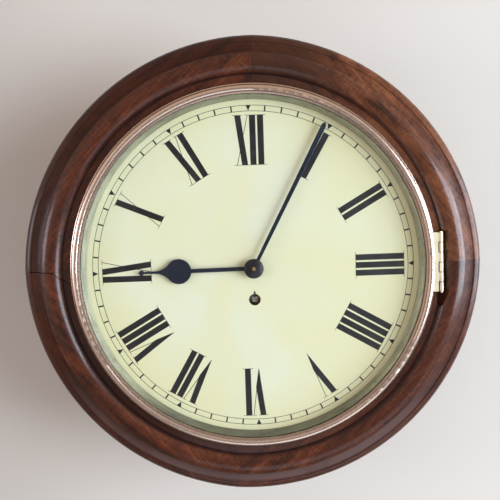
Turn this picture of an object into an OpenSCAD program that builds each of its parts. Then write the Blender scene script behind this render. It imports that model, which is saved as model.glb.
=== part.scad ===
// Fusee dial clock: a round wall clock with a spring-driven fusee movement.
// Every piece is drawn as the clock is seen from the front: x to the right,
// y up, and the third axis out of the wall towards the viewer. hang() then
// turns the drawing up against the wall, so that the finished clock has +Z up
// and its back on the plane y = 0, with the hands turning about x = 0, z = 0.

/* [Dial] */
// Diameter of the painted dial plate
dial_d = 304.8; // [270:0.1:370]
// Thickness of the dial plate
dial_t = 1.6; // [1:0.1:2.5]
// Radius of the winding hole
winding_hole_r = 5.15; // [4:0.05:7]
// Distance of the winding hole below the hands
winding_drop = 27.75; // [24:0.05:34]

/* [Surround] */
// Width of the flat wood under the rim of the dial
seat_w = 34.4; // [20:0.1:38]
// Thickness of the surround behind the dial
seat_t = 18.4; // [14:0.1:26]
// Height of the wooden ledge above the dial's face
ledge_h = 3.6; // [2:0.1:6]
// Width of the ledge outside the bezel
ledge_w = 6.4; // [4.5:0.1:9]
// Radius of the large half-round moulding
torus_r = 11.6; // [9.5:0.1:16]
// Width of the outer band, from the step below the moulding to the edge
band_w = 16.3; // [13:0.1:21]
// Radius of the outer band's rounded edge
band_r = 7; // [5:0.1:10]
// How far the wood has shrunk at the middle of each quarter
shrink = 1.7; // [0:0.1:3]

/* [Bezel] */
// How far the bezel reaches past the rim of the dial
bezel_lap = 4.9; // [4.2:0.1:7]
// Width of the brass seen from the front
bezel_w = 10; // [9:0.1:13]
// Height of the bezel's crown above its ledge
bezel_h = 9.8; // [9.4:0.1:13]
// Thickness of the glass
glass_t = 2; // [1.6:0.1:3]
// Length of the hinge
hinge_len = 51; // [36:0.5:66]
// Radius of the hinge barrel
barrel_hinge_r = 1.6; // [1.4:0.05:2.2]
// Radius of the hinge pin
hinge_pin_r = 0.8; // [0.6:0.05:1]

/* [Hands] */
// Length of the minute hand
minute_len = 138.6; // [110:0.1:140]
// Distance of the hour hand's bulb from the centre
bulb_at = 64.8; // [50:0.1:78]
// Radius of the bulb
bulb_r = 10.8; // [8:0.1:12]
// Length of the hour hand
hour_len = 99.6; // [92:0.1:110]
// Angle of the minute hand, clockwise from twelve
minute_angle = 28; // [0:0.1:360]
// Angle of the hour hand, clockwise from twelve
hour_angle = 269.7; // [0:0.1:360]

/* [Case] */
// Width of the box behind the dial
case_w = 210; // [200:1:290]
// Height of the box above the hands
case_up = 140; // [125:1:160]
// Depth of the box below the hands
case_down = 165; // [160:1:185]
// Distance from the wall to the back of the surround
case_depth = 98; // [94:0.5:125]
// Thickness of the box's boards
board_t = 9; // [7:0.5:12]
// Thickness of the back board
back_t = 10; // [8:0.5:14]
// Radius of the hole in the hanging plate
hang_hole_r = 5; // [3.5:0.1:6]

/* [Movement] */
// Width of the plates outside the barrel's arbor
plate_side = 27; // [26:0.5:36]
// Height of the plates above the hands
plate_up = 71; // [68:0.5:80]
// Depth of the plates below the barrel's arbor
plate_low = 30; // [29.5:0.5:38]
// Thickness of the plates
plate_t = 3; // [2:0.1:4]
// Distance between the plates
plate_gap = 46; // [44:0.5:54]
// Room between the front plate and the back of the dial
motion_room = 14.4; // [14:0.1:18]
// Length of the pendulum, from where its spring bends to the middle of its bob
pendulum_len = 172.6; // [150:0.1:184]
// Radius of the pendulum bob
bob_r = 27; // [20:0.5:33]
// Radius of the spring barrel
drum_r = 22.5; // [19:0.1:23.5]

/* [Hidden] */

$fn = 96;
run_gap = 0.05;      // radial room of a shaft in its hole
fit_gap = 0.02;      // radial room of a piece fixed on another
eps = 0.5;           // how far a cut runs past the face that it opens

// Colours
wood = "#5b3220";
wood_inside = "#8a6238";
brass = "#b8964e";
old_brass = "#8f8f74";
steel = "#9a9a9c";
blued = "#20242c";
cream = "#e4e6c4";

// Radii of the dial, the bezel and the surround
dial_r = dial_d / 2;
dial_room = 0.4;                                 // between the dial's rim and the wood
opening_r = dial_r - seat_w;
bezel_r = dial_r + bezel_lap;
bezel_in = bezel_r - bezel_w;
ledge_r = bezel_r + ledge_w;
torus_lift = 6;                                  // torus centre below its inner edge
torus_c = ledge_r + sqrt(pow(torus_r, 2) - pow(torus_lift, 2));
torus_lip = 40;                                  // how far the torus bends down to its outer lip, in degrees
step_r = torus_c + torus_r * sin(torus_lip);
surround_r = step_r + band_w;                    // mean radius of the edge

// Distances from the wall
seat_z = case_depth + seat_t;
dial_z = seat_z + dial_t;
ledge_z = dial_z + ledge_h;
torus_z = ledge_z + 0.6 - torus_lift;
band_z = ledge_z - 0.8;                          // bottom of the shallow hollow in the outer band
hollow_fall = 1.9;                               // from the step below the torus to the hollow's bottom
hollow_step = 0.5;                               // up again to the rounded edge
roll_x = surround_r - band_r;                    // centre of the rounded edge
roll_z = band_z + hollow_step - band_r;
hollow_w = roll_x - step_r;
hollow_r = (pow(hollow_w, 2) + pow(hollow_fall, 2)) / (2 * hollow_fall);
plate_front = seat_z - motion_room;              // front of the front plate
gap_front = plate_front - plate_t;               // inside of the front plate
gap_back = gap_front - plate_gap;                // inside of the back plate
plate_rear = gap_back - plate_t;
rod_z = plate_rear - 11.5;                       // plane in which the pendulum swings

// Joints between the four pieces of the surround, counted clockwise from twelve
seams = [1.5, 89.9, 186.1, 271.1];

// Bezel: base, beads, lip and glass
bead_r = 1.9;                                    // small outer bead
crown_r = 3.5;                                   // large bead
crown_c = bezel_r - 5.6;
crown_z = ledge_z + bezel_h - crown_r;
glass_front = ledge_z + bezel_h - 2;
glass_back = glass_front - glass_t;
glass_r = bezel_in + 2;
sight_t = 0.8;
sight_r = bezel_in - 3.2;                        // inner edge of the sight ring, by the dial
sight_z = dial_z + 0.7;

// Bezel hinge, on the right
hinge_x = bezel_r + 3.6;
hinge_z = dial_z + 8;
knuckles = 6;
knuckle_len = hinge_len / knuckles;
knuckle_gap = 0.45;
leaf_t = 1;
leaf_bed = ledge_z - 5;                          // the surround's leaf lies deep in a pocket of the ledge
leaf_out = hinge_x + 5;
leaf_gap = 0.45;                                 // between the bezel's leaf and the surround's knuckles
mortise_room = 1.2;
leaf_screws = [-19, 0, 19];

// Case
in_x = case_w / 2 - board_t;
door_gap = 0.6;
swing_gap = 1.3;                                 // wider gap at the edge that swings out
side_open_z = [28, 74];
side_open_y = [-52, 58];
floor_open_z = [30, 88];
floor_open_x = [-56, 56];
batten_w = 14;
batten_t = 24;
batten_y = [-150, 128];
batten_x = in_x - batten_w;
peg_r = 4;
peg_y = [-118, 96];
peg_z = case_depth - 12;

// Door hinges and turn buttons
butt_r = 2.2;
butt_pin_r = 1;
butt_len = 24;
butt_leaf = 12;
butt_t = 1.2;
side_butt_y = [-36, 42];
floor_butt_x = [-38, 38];
button_len = 22;
button_w = 7;
button_t = 2.4;
button_pin_r = 1.4;

// Movement
arbor_y = -winding_drop;                         // fusee arbor, straight below the hands
great_n = 96;
centre_pinion_n = 8;
great_m = 2 * winding_drop / (great_n + centre_pinion_n);
centre_n = 84;
third_n = 84;
small_pinion_n = 7;
centre_m = 0.48;
third_m = 0.42;
third_away = centre_m * (centre_n + small_pinion_n) / 2;
escape_away = third_m * (third_n + small_pinion_n) / 2;
escape_y = 33;
third_y = (pow(third_away, 2) - pow(escape_away, 2) + pow(escape_y, 2)) / (2 * escape_y);
third_x = sqrt(pow(third_away, 2) - pow(third_y, 2));
escape_r = 17;
escape_n = 30;
pallet_y = 57;
pallet_lift = pallet_y - escape_y;

// Motion work: cannon and minute wheels alike, then pinion 8 into 96
motion_n = 40;
minute_pinion_n = 8;
hour_n = 96;
hour_m = 0.38;
minute_away = hour_m * (hour_n + minute_pinion_n) / 2;
motion_m = minute_away / motion_n;
// from the hands to the minute wheel, anticlockwise from the right
minute_dir = 150;
bridge_dir = 75;

// Layers of the train, from the inside of the back plate
centre_z = gap_back + 1.6;
great_z = gap_back + 5;
great_t = 2.5;
cone_z = great_z + great_t + 0.5;
stop_z = gap_front - 6.4;                        // fusee stop, at the cone's small end
escape_z = gap_back + 13;
third_z = gap_back + 27;
wheel_t = 1.6;

// Layers of the motion work, from the front plate
cannon_z = plate_front + 1.2;
bridge_z = plate_front + 4;
hour_z = plate_front + 6.2;

// Hands: pipes and heights above the dial
arbor_r = 1.6;
cannon_r = 2.6;
bridge_r = 3.6;
hour_pipe_r = 4.8;
hour_hand_z = dial_z + 2;
minute_hand_z = dial_z + 4.6;
hand_t = 1.2;
collet_z = minute_hand_z + hand_t;
collet_r = 8.5;
collet_t = 1.8;
hand_pin_r = 0.45;

// Fusee and barrel
barrel_gap = 1.78;                               // between the drum and the great wheel
barrel_way = [-34, -37.25] / norm([-34, -37.25]); // from the fusee's arbor to the barrel's
barrel_away = great_m * (great_n / 2 + 1) + drum_r + barrel_gap;
barrel_at = [0, arbor_y] + barrel_away * barrel_way;
plate_x = plate_side - barrel_at[0];
plate_down = plate_low - barrel_at[1];
fusee_big = 20.5;
fusee_small = 9.5;
gut_r = 0.7;
gut_turns = 15;
cone_len = stop_z - cone_z - 1;
groove_pitch = (cone_len - 3) / gut_turns;
barrel_z = gap_back + 4;
barrel_len = plate_gap - 11;
drum_wall = 1.4;
barrel_arbor_r = 3.2;

// Turns the drawing up against the wall
module hang() rotate([90, 0, 0]) children();

// A disc, ring or tube at a distance from the wall
module disc(r, z, t) translate([0, 0, z]) cylinder(r = r, h = t);
module ring(r, bore, z, t) difference() {
    disc(r, z, t);
    disc(bore, z - eps, t + 2 * eps);
}
module at(p) translate([p[0], p[1], 0]) children();
module slab(x, y, z) translate([x[0], y[0], z[0]]) cube([x[1] - x[0], y[1] - y[0], z[1] - z[0]]);

// Points on a circle, and the direction of a clock angle
function polar(r, a) = [r * cos(a), r * sin(a)];
function clock(a) = 90 - a;

// Surround
module surround_section() {
    difference() {
        union() {
            polygon([[opening_r - 12, case_depth], [surround_r, case_depth], [surround_r, roll_z],
                [roll_x + 2, roll_z + band_r - 1.5], [roll_x + 0.5, roll_z + band_r - 1.5],
                [roll_x + 0.5, band_z + hollow_fall + 1], [torus_c, torus_z + torus_r - 3],
                [ledge_r, ledge_z], [opening_r - 12, ledge_z]]);
            intersection() {
                translate([torus_c, torus_z]) circle(torus_r);
                translate([ledge_r, case_depth + 1]) square([2 * torus_r, torus_z + torus_r]);
            }
        }
        intersection() {
            translate([roll_x, band_z + hollow_r]) circle(hollow_r);
            translate([step_r, band_z - 1]) square([hollow_w + 1, hollow_r]);
        }
    }
    intersection() {
        translate([roll_x, roll_z]) circle(band_r);
        translate([roll_x, roll_z]) square(band_r);
    }
}
// The quarters have shrunk across their grain. Each is now an arc that is flatter than
// a quarter of the circle, about a centre that lies on the far side of the hands.
function quarter_sweep(k) = (seams[(k + 1) % 4] - seams[k] + 360) % 360;
function quarter_middle(k) = clock(seams[k] + quarter_sweep(k) / 2);
function centre_shift(k) = shrink / (1 - cos(quarter_sweep(k) / 2));
function arc_grow(k) = centre_shift(k) * cos(quarter_sweep(k) / 2) + 0.66 * shrink;
module quarter_wedge(k) translate([0, 0, case_depth - 1]) linear_extrude(60) polygon([[0, 0],
    polar(1.6 * surround_r, clock(seams[k])), polar(1.6 * surround_r, quarter_middle(k)),
    polar(1.6 * surround_r, clock(seams[(k + 1) % 4]))]);
// One quarter of the surround, between two seams
module surround_quarter(k) {
    half = quarter_sweep(k) / 2 + 3;
    color(wood) hang() difference() {
        intersection() {
            at(-polar(centre_shift(k), quarter_middle(k))) rotate([0, 0, quarter_middle(k) - half])
                rotate_extrude(angle = 2 * half) translate([arc_grow(k), 0]) surround_section();
            quarter_wedge(k);
        }
        disc(opening_r, case_depth - eps, 60);
        disc(dial_r + dial_room, seat_z, 60);
        bezel_mortise();
        open_joint();
        for (y = leaf_screws) at([screw_x(), y]) disc(wood_screw_r + fit_gap, leaf_bed - 9, 9 + eps);
        dial_screw_places() disc(wood_screw_r + fit_gap, seat_z - 9, 20);
    }
}
module surround_upper_right() surround_quarter(0);
module surround_lower_right() surround_quarter(1);
module surround_lower_left() surround_quarter(2);
module surround_upper_left() surround_quarter(3);
// Pocket in the ledge and the moulding for the hinge, with the chisel's run-out at its lower end
module bezel_mortise() {
    half = hinge_len / 2 + mortise_room;
    near = hinge_x - 2.4;
    far = leaf_out + mortise_room;
    translate([0, 0, leaf_bed]) linear_extrude(30) polygon([[near, half], [far, half], [far, -half],
        [hinge_x + 0.8, -half - 12], [near, -half - 12]]);
}
// The glue has let go at nine o'clock: the joint is open, and a crack leaves it towards the bezel
crack = [[surround_r + 4, 271.1], [173, 271.1], [169.5, 270.5], [166.5, 269], [163.5, 268.4], [160, 267.2]];
crack_w = 0.7;
crack_z = case_depth + 6;
module open_joint() translate([0, 0, crack_z]) linear_extrude(40) polygon(concat(
    [for (p = crack) polar(p[0], clock(p[1])) + [0, crack_w / 2]],
    [for (k = [len(crack) - 1 : -1 : 0]) polar(crack[k][0], clock(crack[k][1])) - [0, crack_w / 2]]));

// Bezel
module bezel_section() difference() {
    foot = bezel_r - bead_r;
    rest_z = ledge_z + run_gap;
    union() {
        polygon([[glass_r, rest_z], [foot, rest_z], [foot, rest_z + 3], [crown_c + 2.8, crown_z - 1],
            [crown_c, crown_z + 2.9], [bezel_in + 1.2, glass_front + 1.3], [bezel_in, glass_front + 0.8],
            [bezel_in, glass_front]]);
        translate([foot, rest_z + bead_r]) circle(bead_r);
        translate([crown_c, crown_z]) circle(crown_r);
    }
    translate([bezel_in - 1, ledge_z - 1])
        square([glass_r + 0.3 - bezel_in + 1, glass_front - ledge_z + 1]);
}
module bezel_ring() color(brass) hang() difference() {
    rotate_extrude() bezel_section();
    difference() {
        slab([crown_c, hinge_x], [-hinge_len / 2 - fit_gap, hinge_len / 2 + fit_gap],
            [hinge_z - leaf_t / 2 - fit_gap, hinge_z + leaf_t / 2 + fit_gap]);
        disc(crown_c + 2.6, hinge_z - 5, 10);
    }
}
module sight_ring() color(old_brass) hang() rotate_extrude() polygon([
    [glass_r + 0.2, glass_back], [glass_r + 0.2, glass_back - sight_t],
        [bezel_in + 0.4, glass_back - sight_t],
    [sight_r + sight_t, sight_z], [sight_r, sight_z], [bezel_in - 0.4, glass_back]]);
module glass() color("#dfe8e8", 0.3) hang() disc(glass_r, glass_back + fit_gap, glass_t - 2 * fit_gap);

// Hinge: three knuckles on the bezel's leaf, three on the surround's
module knuckle(k) {
    top = hinge_len / 2 - k * knuckle_len;
    translate([hinge_x, top - knuckle_gap / 2, hinge_z]) rotate([90, 0, 0])
        cylinder(r = barrel_hinge_r, h = knuckle_len - knuckle_gap);
}
module knuckle_bore() translate([hinge_x, hinge_len, hinge_z]) rotate([90, 0, 0])
    cylinder(r = hinge_pin_r + run_gap, h = 2 * hinge_len);
module leaf_tongue(k, x, z) {
    top = hinge_len / 2 - k * knuckle_len - knuckle_gap / 2;
    slab(x, [top - knuckle_len + knuckle_gap, top], z);
}
module bezel_hinge_leaf() color(brass) hang() difference() {
    union() {
        difference() {
            slab([crown_c, hinge_x - barrel_hinge_r - leaf_gap], [-hinge_len / 2, hinge_len / 2],
                [hinge_z - leaf_t / 2, hinge_z + leaf_t / 2]);
            disc(crown_c + 2.6 + fit_gap, hinge_z - 5, 10);
        }
        for (k = [0, 2, 4]) {
            knuckle(k);
            leaf_tongue(k, [hinge_x - barrel_hinge_r - leaf_gap - 0.2, hinge_x],
                [hinge_z - leaf_t / 2, hinge_z + leaf_t / 2]);
        }
    }
    knuckle_bore();
}
function screw_x() = hinge_x + barrel_hinge_r + 1.9;
module surround_hinge_leaf() color(brass) hang() difference() {
    union() {
        slab([hinge_x - 2, leaf_out], [-hinge_len / 2, hinge_len / 2], [leaf_bed, leaf_bed + leaf_t]);
        for (k = [1, 3, 5]) {
            knuckle(k);
            leaf_tongue(k, [hinge_x + barrel_hinge_r - leaf_t, hinge_x + barrel_hinge_r],
                [leaf_bed, hinge_z]);
        }
    }
    knuckle_bore();
    for (y = leaf_screws) at([screw_x(), y]) disc(wood_screw_r + fit_gap, leaf_bed - 1, 3);
}
module bezel_hinge_pin() color(steel) hang()
    translate([hinge_x, hinge_len / 2 + 0.8, hinge_z]) rotate([90, 0, 0]) {
        cylinder(r = hinge_pin_r, h = hinge_len + 1.6);
        cylinder(r = barrel_hinge_r - 0.2, h = 0.75);
    }

// Dial
dial_screw_angles = [38, 142, 218, 322];
dial_screw_r = dial_r - 3.2;
feet = [[-44, 52], [44, 52], [-50, -40], [44, -76]];
foot_r = 4;
foot_tenon_r = 2.4;
module dial_screw_places() for (a = dial_screw_angles) at(polar(dial_screw_r, clock(a))) children();
module dial_plate() color(cream) hang() difference() {
    disc(dial_r, seat_z, dial_t);
    disc(hour_pipe_r + 1.4, seat_z - eps, dial_t + 2 * eps);
    at([0, arbor_y]) disc(winding_hole_r, seat_z - eps, dial_t + 2 * eps);
    slab([-0.8, 0.8], [arbor_y, arbor_y + winding_hole_r + 2.2], [seat_z - eps, dial_z + eps]);
    dial_screw_places() disc(wood_screw_r + 0.2, seat_z - eps, dial_t + 2 * eps);
}
module dial_feet() color(brass) hang() for (p = feet) at(p) difference() {
    union() {
        disc(foot_r, plate_front, motion_room);
        disc(foot_tenon_r, plate_front - plate_t - 4, plate_t + 4.1);
    }
    translate([0, 0, foot_pin_z()]) rotate([0, 90, 0]) cylinder(r = pin_r + fit_gap, h = 20, center = true);
}
function foot_pin_z() = gap_front - pin_r - 0.1;

// Hands
// Outline of one side of the hour hand: stem, bulb, hollow curve to the neck, ball and point
ball_r = 2.25;
ball_at = hour_len - 2.7;
neck = 0.95;
neck_at = bulb_at + bulb_r * 1.95;
stem = 1.7;
flare = (pow(neck_at - bulb_at, 2) + pow(neck, 2) - pow(bulb_r, 2)) / (2 * (bulb_r - neck));
flare_dir = atan2(neck + flare, neck_at - bulb_at);
function arc(x, y, r, from, to, steps)
    = [for (k = [0 : steps]) [x, y] + polar(r, from + (to - from) * k / steps)];
hour_side = concat([[3, stem]],
    arc(bulb_at, 0, bulb_r, 180 - asin(stem / bulb_r), flare_dir, 24),
    arc(neck_at, neck + flare, flare, 180 + flare_dir, 270, 12),
    arc(ball_at, 0, ball_r, 180 - asin(neck / ball_r), acos(ball_r / (hour_len - ball_at)), 10));
function mirrored(points) = [for (k = [len(points) - 1 : -1 : 0]) [points[k][0], -points[k][1]]];
module hour_outline() polygon(concat(hour_side, [[hour_len, 0]], mirrored(hour_side)));
module hour_hand() color(blued) hang() rotate([0, 0, clock(hour_angle)]) difference() {
    union() {
        disc(hour_pipe_r + 2, hour_hand_z, hand_t);
        translate([0, 0, hour_hand_z]) linear_extrude(hand_t) hour_outline();
    }
    disc(hour_pipe_r + fit_gap, hour_hand_z - eps, hand_t + 2 * eps);
}
module minute_hand() color(blued) hang() rotate([0, 0, clock(minute_angle)]) difference() {
    union() {
        disc(6.4, minute_hand_z, hand_t);
        hull() {
            translate([0, 0, minute_hand_z]) linear_extrude(0.7) minute_outline(0);
            translate([0, 0, minute_hand_z]) linear_extrude(hand_t) minute_outline(0.45);
        }
    }
    disc(cannon_r + fit_gap, minute_hand_z - eps, hand_t + 2 * eps);
}
module minute_outline(inset)
    polygon([[0, -1.5 + inset], [minute_len - 3, -2.1 + inset], [minute_len - inset, 0],
    [minute_len - 3, 2.1 - inset], [0, 1.5 - inset]]);
module hand_collet() color(blued) hang() difference() {
    rotate_extrude() intersection() {
        translate([0, collet_z]) square([collet_r, collet_t]);
        translate([0, collet_z + collet_t - 21.5]) circle(21.5);
    }
    disc(cannon_r + fit_gap, collet_z - eps, 0.6 + eps);
    disc(arbor_r + fit_gap, collet_z - eps, collet_t + 2 * eps);
}
hand_pin_z = collet_z + collet_t + hand_pin_r + 0.02;
module hand_pin_place() translate([0, 0, hand_pin_z]) rotate([0, 90, 35]) children();
module hand_pin() color(brass) hang() hand_pin_place() cylinder(r = hand_pin_r, h = 7, center = true);

// Case boards
module case_top() color(wood) hang()
    slab([-in_x, in_x], [case_up - board_t, case_up], [back_t, case_depth]);
module case_side_board(x) slab(x, [-case_down, case_up], [back_t, case_depth]);
module peg_holes() for (y = peg_y) translate([0, y, peg_z]) rotate([0, 90, 0])
    cylinder(r = peg_r + fit_gap, h = case_w + 20, center = true);
module case_left_side() color(wood) hang() difference() {
    case_side_board([-case_w / 2, -in_x]);
    peg_holes();
}
module case_right_side() color(wood) hang() difference() {
    case_side_board([in_x, case_w / 2]);
    slab([in_x - eps, case_w / 2 + eps], side_open_y, side_open_z);
    peg_holes();
    side_button_place() button_hole();
}
module case_bottom() color(wood) hang() difference() {
    slab([-in_x, in_x], [-case_down, -case_down + board_t], [back_t, case_depth]);
    slab(floor_open_x, [-case_down - eps, -case_down + board_t + eps], floor_open_z);
    floor_button_place() button_hole();
}
module back_board() color(wood_inside) hang() difference() {
    slab([-case_w / 2, case_w / 2], [-case_down, case_up], [0, back_t]);
    slab([-hang_w / 2 - 0.1, hang_w / 2 + 0.1], [hang_low - 0.1, case_up + eps], [-eps, hang_t]);
    hanging_screw_places() disc(wood_screw_r + fit_gap, -eps, 9);
}
module battens() color(wood_inside) hang() difference() {
    for (s = [-1, 1]) scale_x(s) slab([batten_x, in_x], batten_y, [case_depth - batten_t, case_depth]);
    peg_holes();
}
module scale_x(s) if (s > 0) children(); else mirror([1, 0, 0]) children();
module case_pegs() color(wood_inside) hang() for (s = [-1, 1], y = peg_y)
    scale_x(s) translate([batten_x + 2, y, peg_z]) rotate([0, 90, 0]) {
        cylinder(r = peg_r, h = batten_w + board_t - 2);
        translate([0, 0, batten_w + board_t - 2]) cylinder(r = peg_r + 1.5, h = 6);
    }

// Hanging plate, let into the back board
hang_w = 34;
hang_t = 2;
hang_up = 34;                                    // how far the ear stands above the box
hang_low = case_up - 40;
hang_y = case_up + 18;
hang_screws = [[-10, case_up - 12], [10, case_up - 12], [-10, case_up - 32], [10, case_up - 32]];
module hanging_screw_places() for (p = hang_screws) at(p) children();
module hanging_plate() color(brass) hang() difference() {
    union() {
        slab([-hang_w / 2, hang_w / 2], [hang_low, hang_y], [0, hang_t]);
        at([0, hang_y]) disc(hang_w / 2, 0, hang_t);
    }
    at([0, hang_y]) disc(hang_hole_r, -eps, hang_t + 2 * eps);
    hanging_screw_places() {
        disc(wood_screw_r + fit_gap, -eps, hang_t + 2 * eps);
        disc(1.75, -eps, 0.95 + eps);
    }
}

// Doors of the case
side_door_x = [case_w / 2 - board_t + 1, case_w / 2];
side_pivot = [case_w / 2 + butt_r + 0.2, side_open_z[0] - 1];
floor_pivot = [-case_down - butt_r - 0.2, floor_open_z[0] - 1];
module side_door() color(wood) hang()
    slab(side_door_x, [side_open_y[0] + door_gap, side_open_y[1] - door_gap],
        [side_open_z[0] + door_gap, side_open_z[1] - swing_gap]);
module bottom_door() color(wood) hang()
    slab([floor_open_x[0] + door_gap, floor_open_x[1] - door_gap], [-case_down, -case_down + board_t - 1],
        [floor_open_z[0] + door_gap, floor_open_z[1] - swing_gap]);
// Butt hinges drawn lying along x, the leaf towards +y, the board's face on the plane z = 0
module butt(knuckle_side) difference() {
    third = butt_len / 3;
    ends = [[-1.5, -0.5], [0.5, 1.5]];
    spans = knuckle_side == "outer" ? ends : [[-0.5, 0.5]];
    union() {
        translate([-butt_len / 2, butt_r + 0.4, 0]) cube([butt_len, butt_leaf, butt_t]);
        for (s = spans) {
            translate([s[0] * third + 0.1, 0, butt_r + 0.2]) rotate([0, 90, 0])
                cylinder(r = butt_r, h = third - 0.2);
            translate([s[0] * third + 0.1, 0, 0]) cube([third - 0.2, butt_r + 0.6, butt_t]);
        }
    }
    translate([-butt_len, 0, butt_r + 0.2]) rotate([0, 90, 0])
        cylinder(r = butt_pin_r + run_gap, h = 2 * butt_len);
}
// Lays a butt hinge at a place on the right side or under the bottom board
module on_side(y) translate([case_w / 2, y, side_pivot[1]]) rotate([0, 90, 0]) rotate([0, 0, 90])
    children();
module on_floor(x) translate([x, -case_down, floor_pivot[1]]) rotate([90, 0, 0]) children();
module butt_pin() translate([-butt_len / 2 - 0.6, 0, butt_r + 0.2]) rotate([0, 90, 0])
    cylinder(r = butt_pin_r, h = butt_len + 1.2);
module case_hinge_leaves() color(brass) hang() {
    for (y = side_butt_y) on_side(y) { mirror([0, 1, 0]) butt("outer"); butt_pin(); }
    for (x = floor_butt_x) on_floor(x) { mirror([0, 1, 0]) butt("outer"); butt_pin(); }
}
module side_door_leaves() color(brass) hang() for (y = side_butt_y) on_side(y) butt("inner");
module bottom_door_leaves() color(brass) hang() for (x = floor_butt_x) on_floor(x) butt("inner");
// Turn buttons, stored pointing along the edge of the door
module button() {
    difference() {
        union() {
            cylinder(r = button_w / 2, h = button_t);
            translate([-button_len + button_w / 2, -button_w / 2 + 1, 0])
                cube([button_len - button_w / 2, button_w - 2, button_t]);
        }
        translate([0, 0, -eps]) cylinder(r = button_pin_r + run_gap, h = button_t + 2 * eps);
    }
}
side_button = [0, side_open_z[1] + 8];
floor_button = [0, floor_open_z[1] + 5];
module side_door_button() color(brass) hang() side_button_place() translate([0, 0, 0.1]) rotate([0, 0, 90])
    button();
module bottom_door_button() color(brass) hang() floor_button_place() translate([0, 0, 0.1]) button();

// Screws into wood, and taper pins
wood_screw_r = 1.1;
module wood_screw(len, head_r = 2.2, head_t = 0.8) {
    translate([0, 0, -len]) cylinder(r = wood_screw_r, h = len + 0.1);
    difference() {
        cylinder(r1 = head_r, r2 = head_r * 0.8, h = head_t);
        translate([-head_r - 1, -0.25, head_t - 0.4]) cube([2 * head_r + 2, 0.5, 1]);
    }
}
module wood_screws() color(brass) hang() {
    for (y = leaf_screws) translate([screw_x(), y, leaf_bed + leaf_t]) wood_screw(7, 1.5);
    dial_screw_places() translate([0, 0, dial_z]) wood_screw(8, 2);
    hanging_screw_places() translate([0, 0, 0]) mirror([0, 0, 1]) translate([0, 0, -0.9])
        wood_screw(6, 1.6);
    side_button_place() button_screw();
    floor_button_place() button_screw();
}
module side_button_place() translate([case_w / 2, side_button[0], side_button[1]]) rotate([0, 90, 0])
    children();
module floor_button_place() translate([floor_button[0], -case_down, floor_button[1]]) rotate([90, 0, 0])
    children();
module button_hole() translate([0, 0, -6.2]) cylinder(r = button_pin_r + fit_gap, h = 8);
module button_screw() {
    translate([0, 0, -6]) cylinder(r = button_pin_r, h = 6 + button_t + 0.4);
    translate([0, 0, button_t + 0.3]) cylinder(r = 2.8, h = 1.2);
}
pin_r = 0.7;
module taper_pins() color(steel) hang() {
    for (p = feet) at(p) translate([0, 0, foot_pin_z()]) rotate([0, 90, 0])
        cylinder(r = pin_r, h = 12, center = true);
    for (p = pillar_places) at(p) translate([0, 0, plate_front + pin_r + 0.1]) rotate([0, 90, 0])
        cylinder(r = pin_r, h = 12, center = true);
}

// Plates and pillars
pillar_in = 8;                                   // from the plates' edges
pillar_places = [for (y = [plate_up - pillar_in, pillar_in - plate_down], s = [-1, 1])
    [s * (plate_x - pillar_in), y]];
pillar_r = 4.5;
pillar_tenon_r = 2.6;
third_at = [third_x, third_y];
minute_at = polar(minute_away, minute_dir);
bridge_feet = [polar(20, bridge_dir), polar(20, bridge_dir + 180)];
module plate_blank(z) slab([-plate_x, plate_x], [-plate_down, plate_up], [z, z + plate_t]);
module plate_bores(z) {
    for (p = pillar_places) at(p) disc(pillar_tenon_r + fit_gap, z - eps, plate_t + 2 * eps);
    at(third_at) disc(pivot_r + run_gap, z - eps, plate_t + 2 * eps);
    at([0, escape_y]) disc(pivot_r + run_gap, z - eps, plate_t + 2 * eps);
    at(barrel_at) disc(barrel_arbor_r - 0.4 + fit_gap, z - eps, plate_t + 2 * eps);
}
pivot_r = 0.45;
module front_plate() color(brass) hang() difference() {
    plate_blank(gap_front);
    plate_bores(gap_front);
    disc(2.1 + run_gap, gap_front - eps, plate_t + 2 * eps);
    at([0, arbor_y]) disc(3.5 + run_gap, gap_front - eps, plate_t + 2 * eps);
    at([0, pallet_y]) disc(pivot_r + run_gap, gap_front - eps, plate_t + 2 * eps);
    at(minute_at) disc(1.2 + fit_gap, gap_front - eps, plate_t + 2 * eps);
    for (p = feet) at(p) disc(foot_tenon_r + fit_gap, gap_front - eps, plate_t + 2 * eps);
    for (p = bridge_feet) at(p) disc(1.3 + fit_gap, gap_front - eps, plate_t + 2 * eps);
    at(click_at) disc(1.5 + run_gap, gap_front - eps, plate_t + 2 * eps);
}
module back_plate() color(brass) hang() difference() {
    plate_blank(plate_rear);
    plate_bores(plate_rear);
    disc(2.1 + run_gap, plate_rear - eps, plate_t + 2 * eps);
    at([0, arbor_y]) disc(3.5 + run_gap, plate_rear - eps, plate_t + 2 * eps);
    at([0, pallet_y]) disc(5, plate_rear - eps, plate_t + 2 * eps);
    for (x = cock_feet) at([x, pallet_y]) disc(1.3 + fit_gap, plate_rear - eps, plate_t + 2 * eps);
}
module pillars() color(brass) hang() for (p = pillar_places) at(p) difference() {
    rotate_extrude() polygon([[0, plate_rear], [pillar_tenon_r, plate_rear], [pillar_tenon_r, gap_back],
        [pillar_r + 1.5, gap_back], [pillar_r + 1.5, gap_back + 3], [pillar_r - 1, gap_back + 6],
        [pillar_r, gap_back + plate_gap / 2 - 4], [pillar_r + 1.5, gap_back + plate_gap / 2],
        [pillar_r, gap_back + plate_gap / 2 + 4], [pillar_r - 1, gap_front - 6],
            [pillar_r + 1.5, gap_front - 3],
        [pillar_r + 1.5, gap_front], [pillar_tenon_r, gap_front], [pillar_tenon_r, plate_front + 3.4],
            [0, plate_front + 3.4]]);
    translate([0, 0, plate_front + pin_r + 0.1]) rotate([0, 90, 0])
        cylinder(r = pin_r + fit_gap, h = 20, center = true);
}

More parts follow.
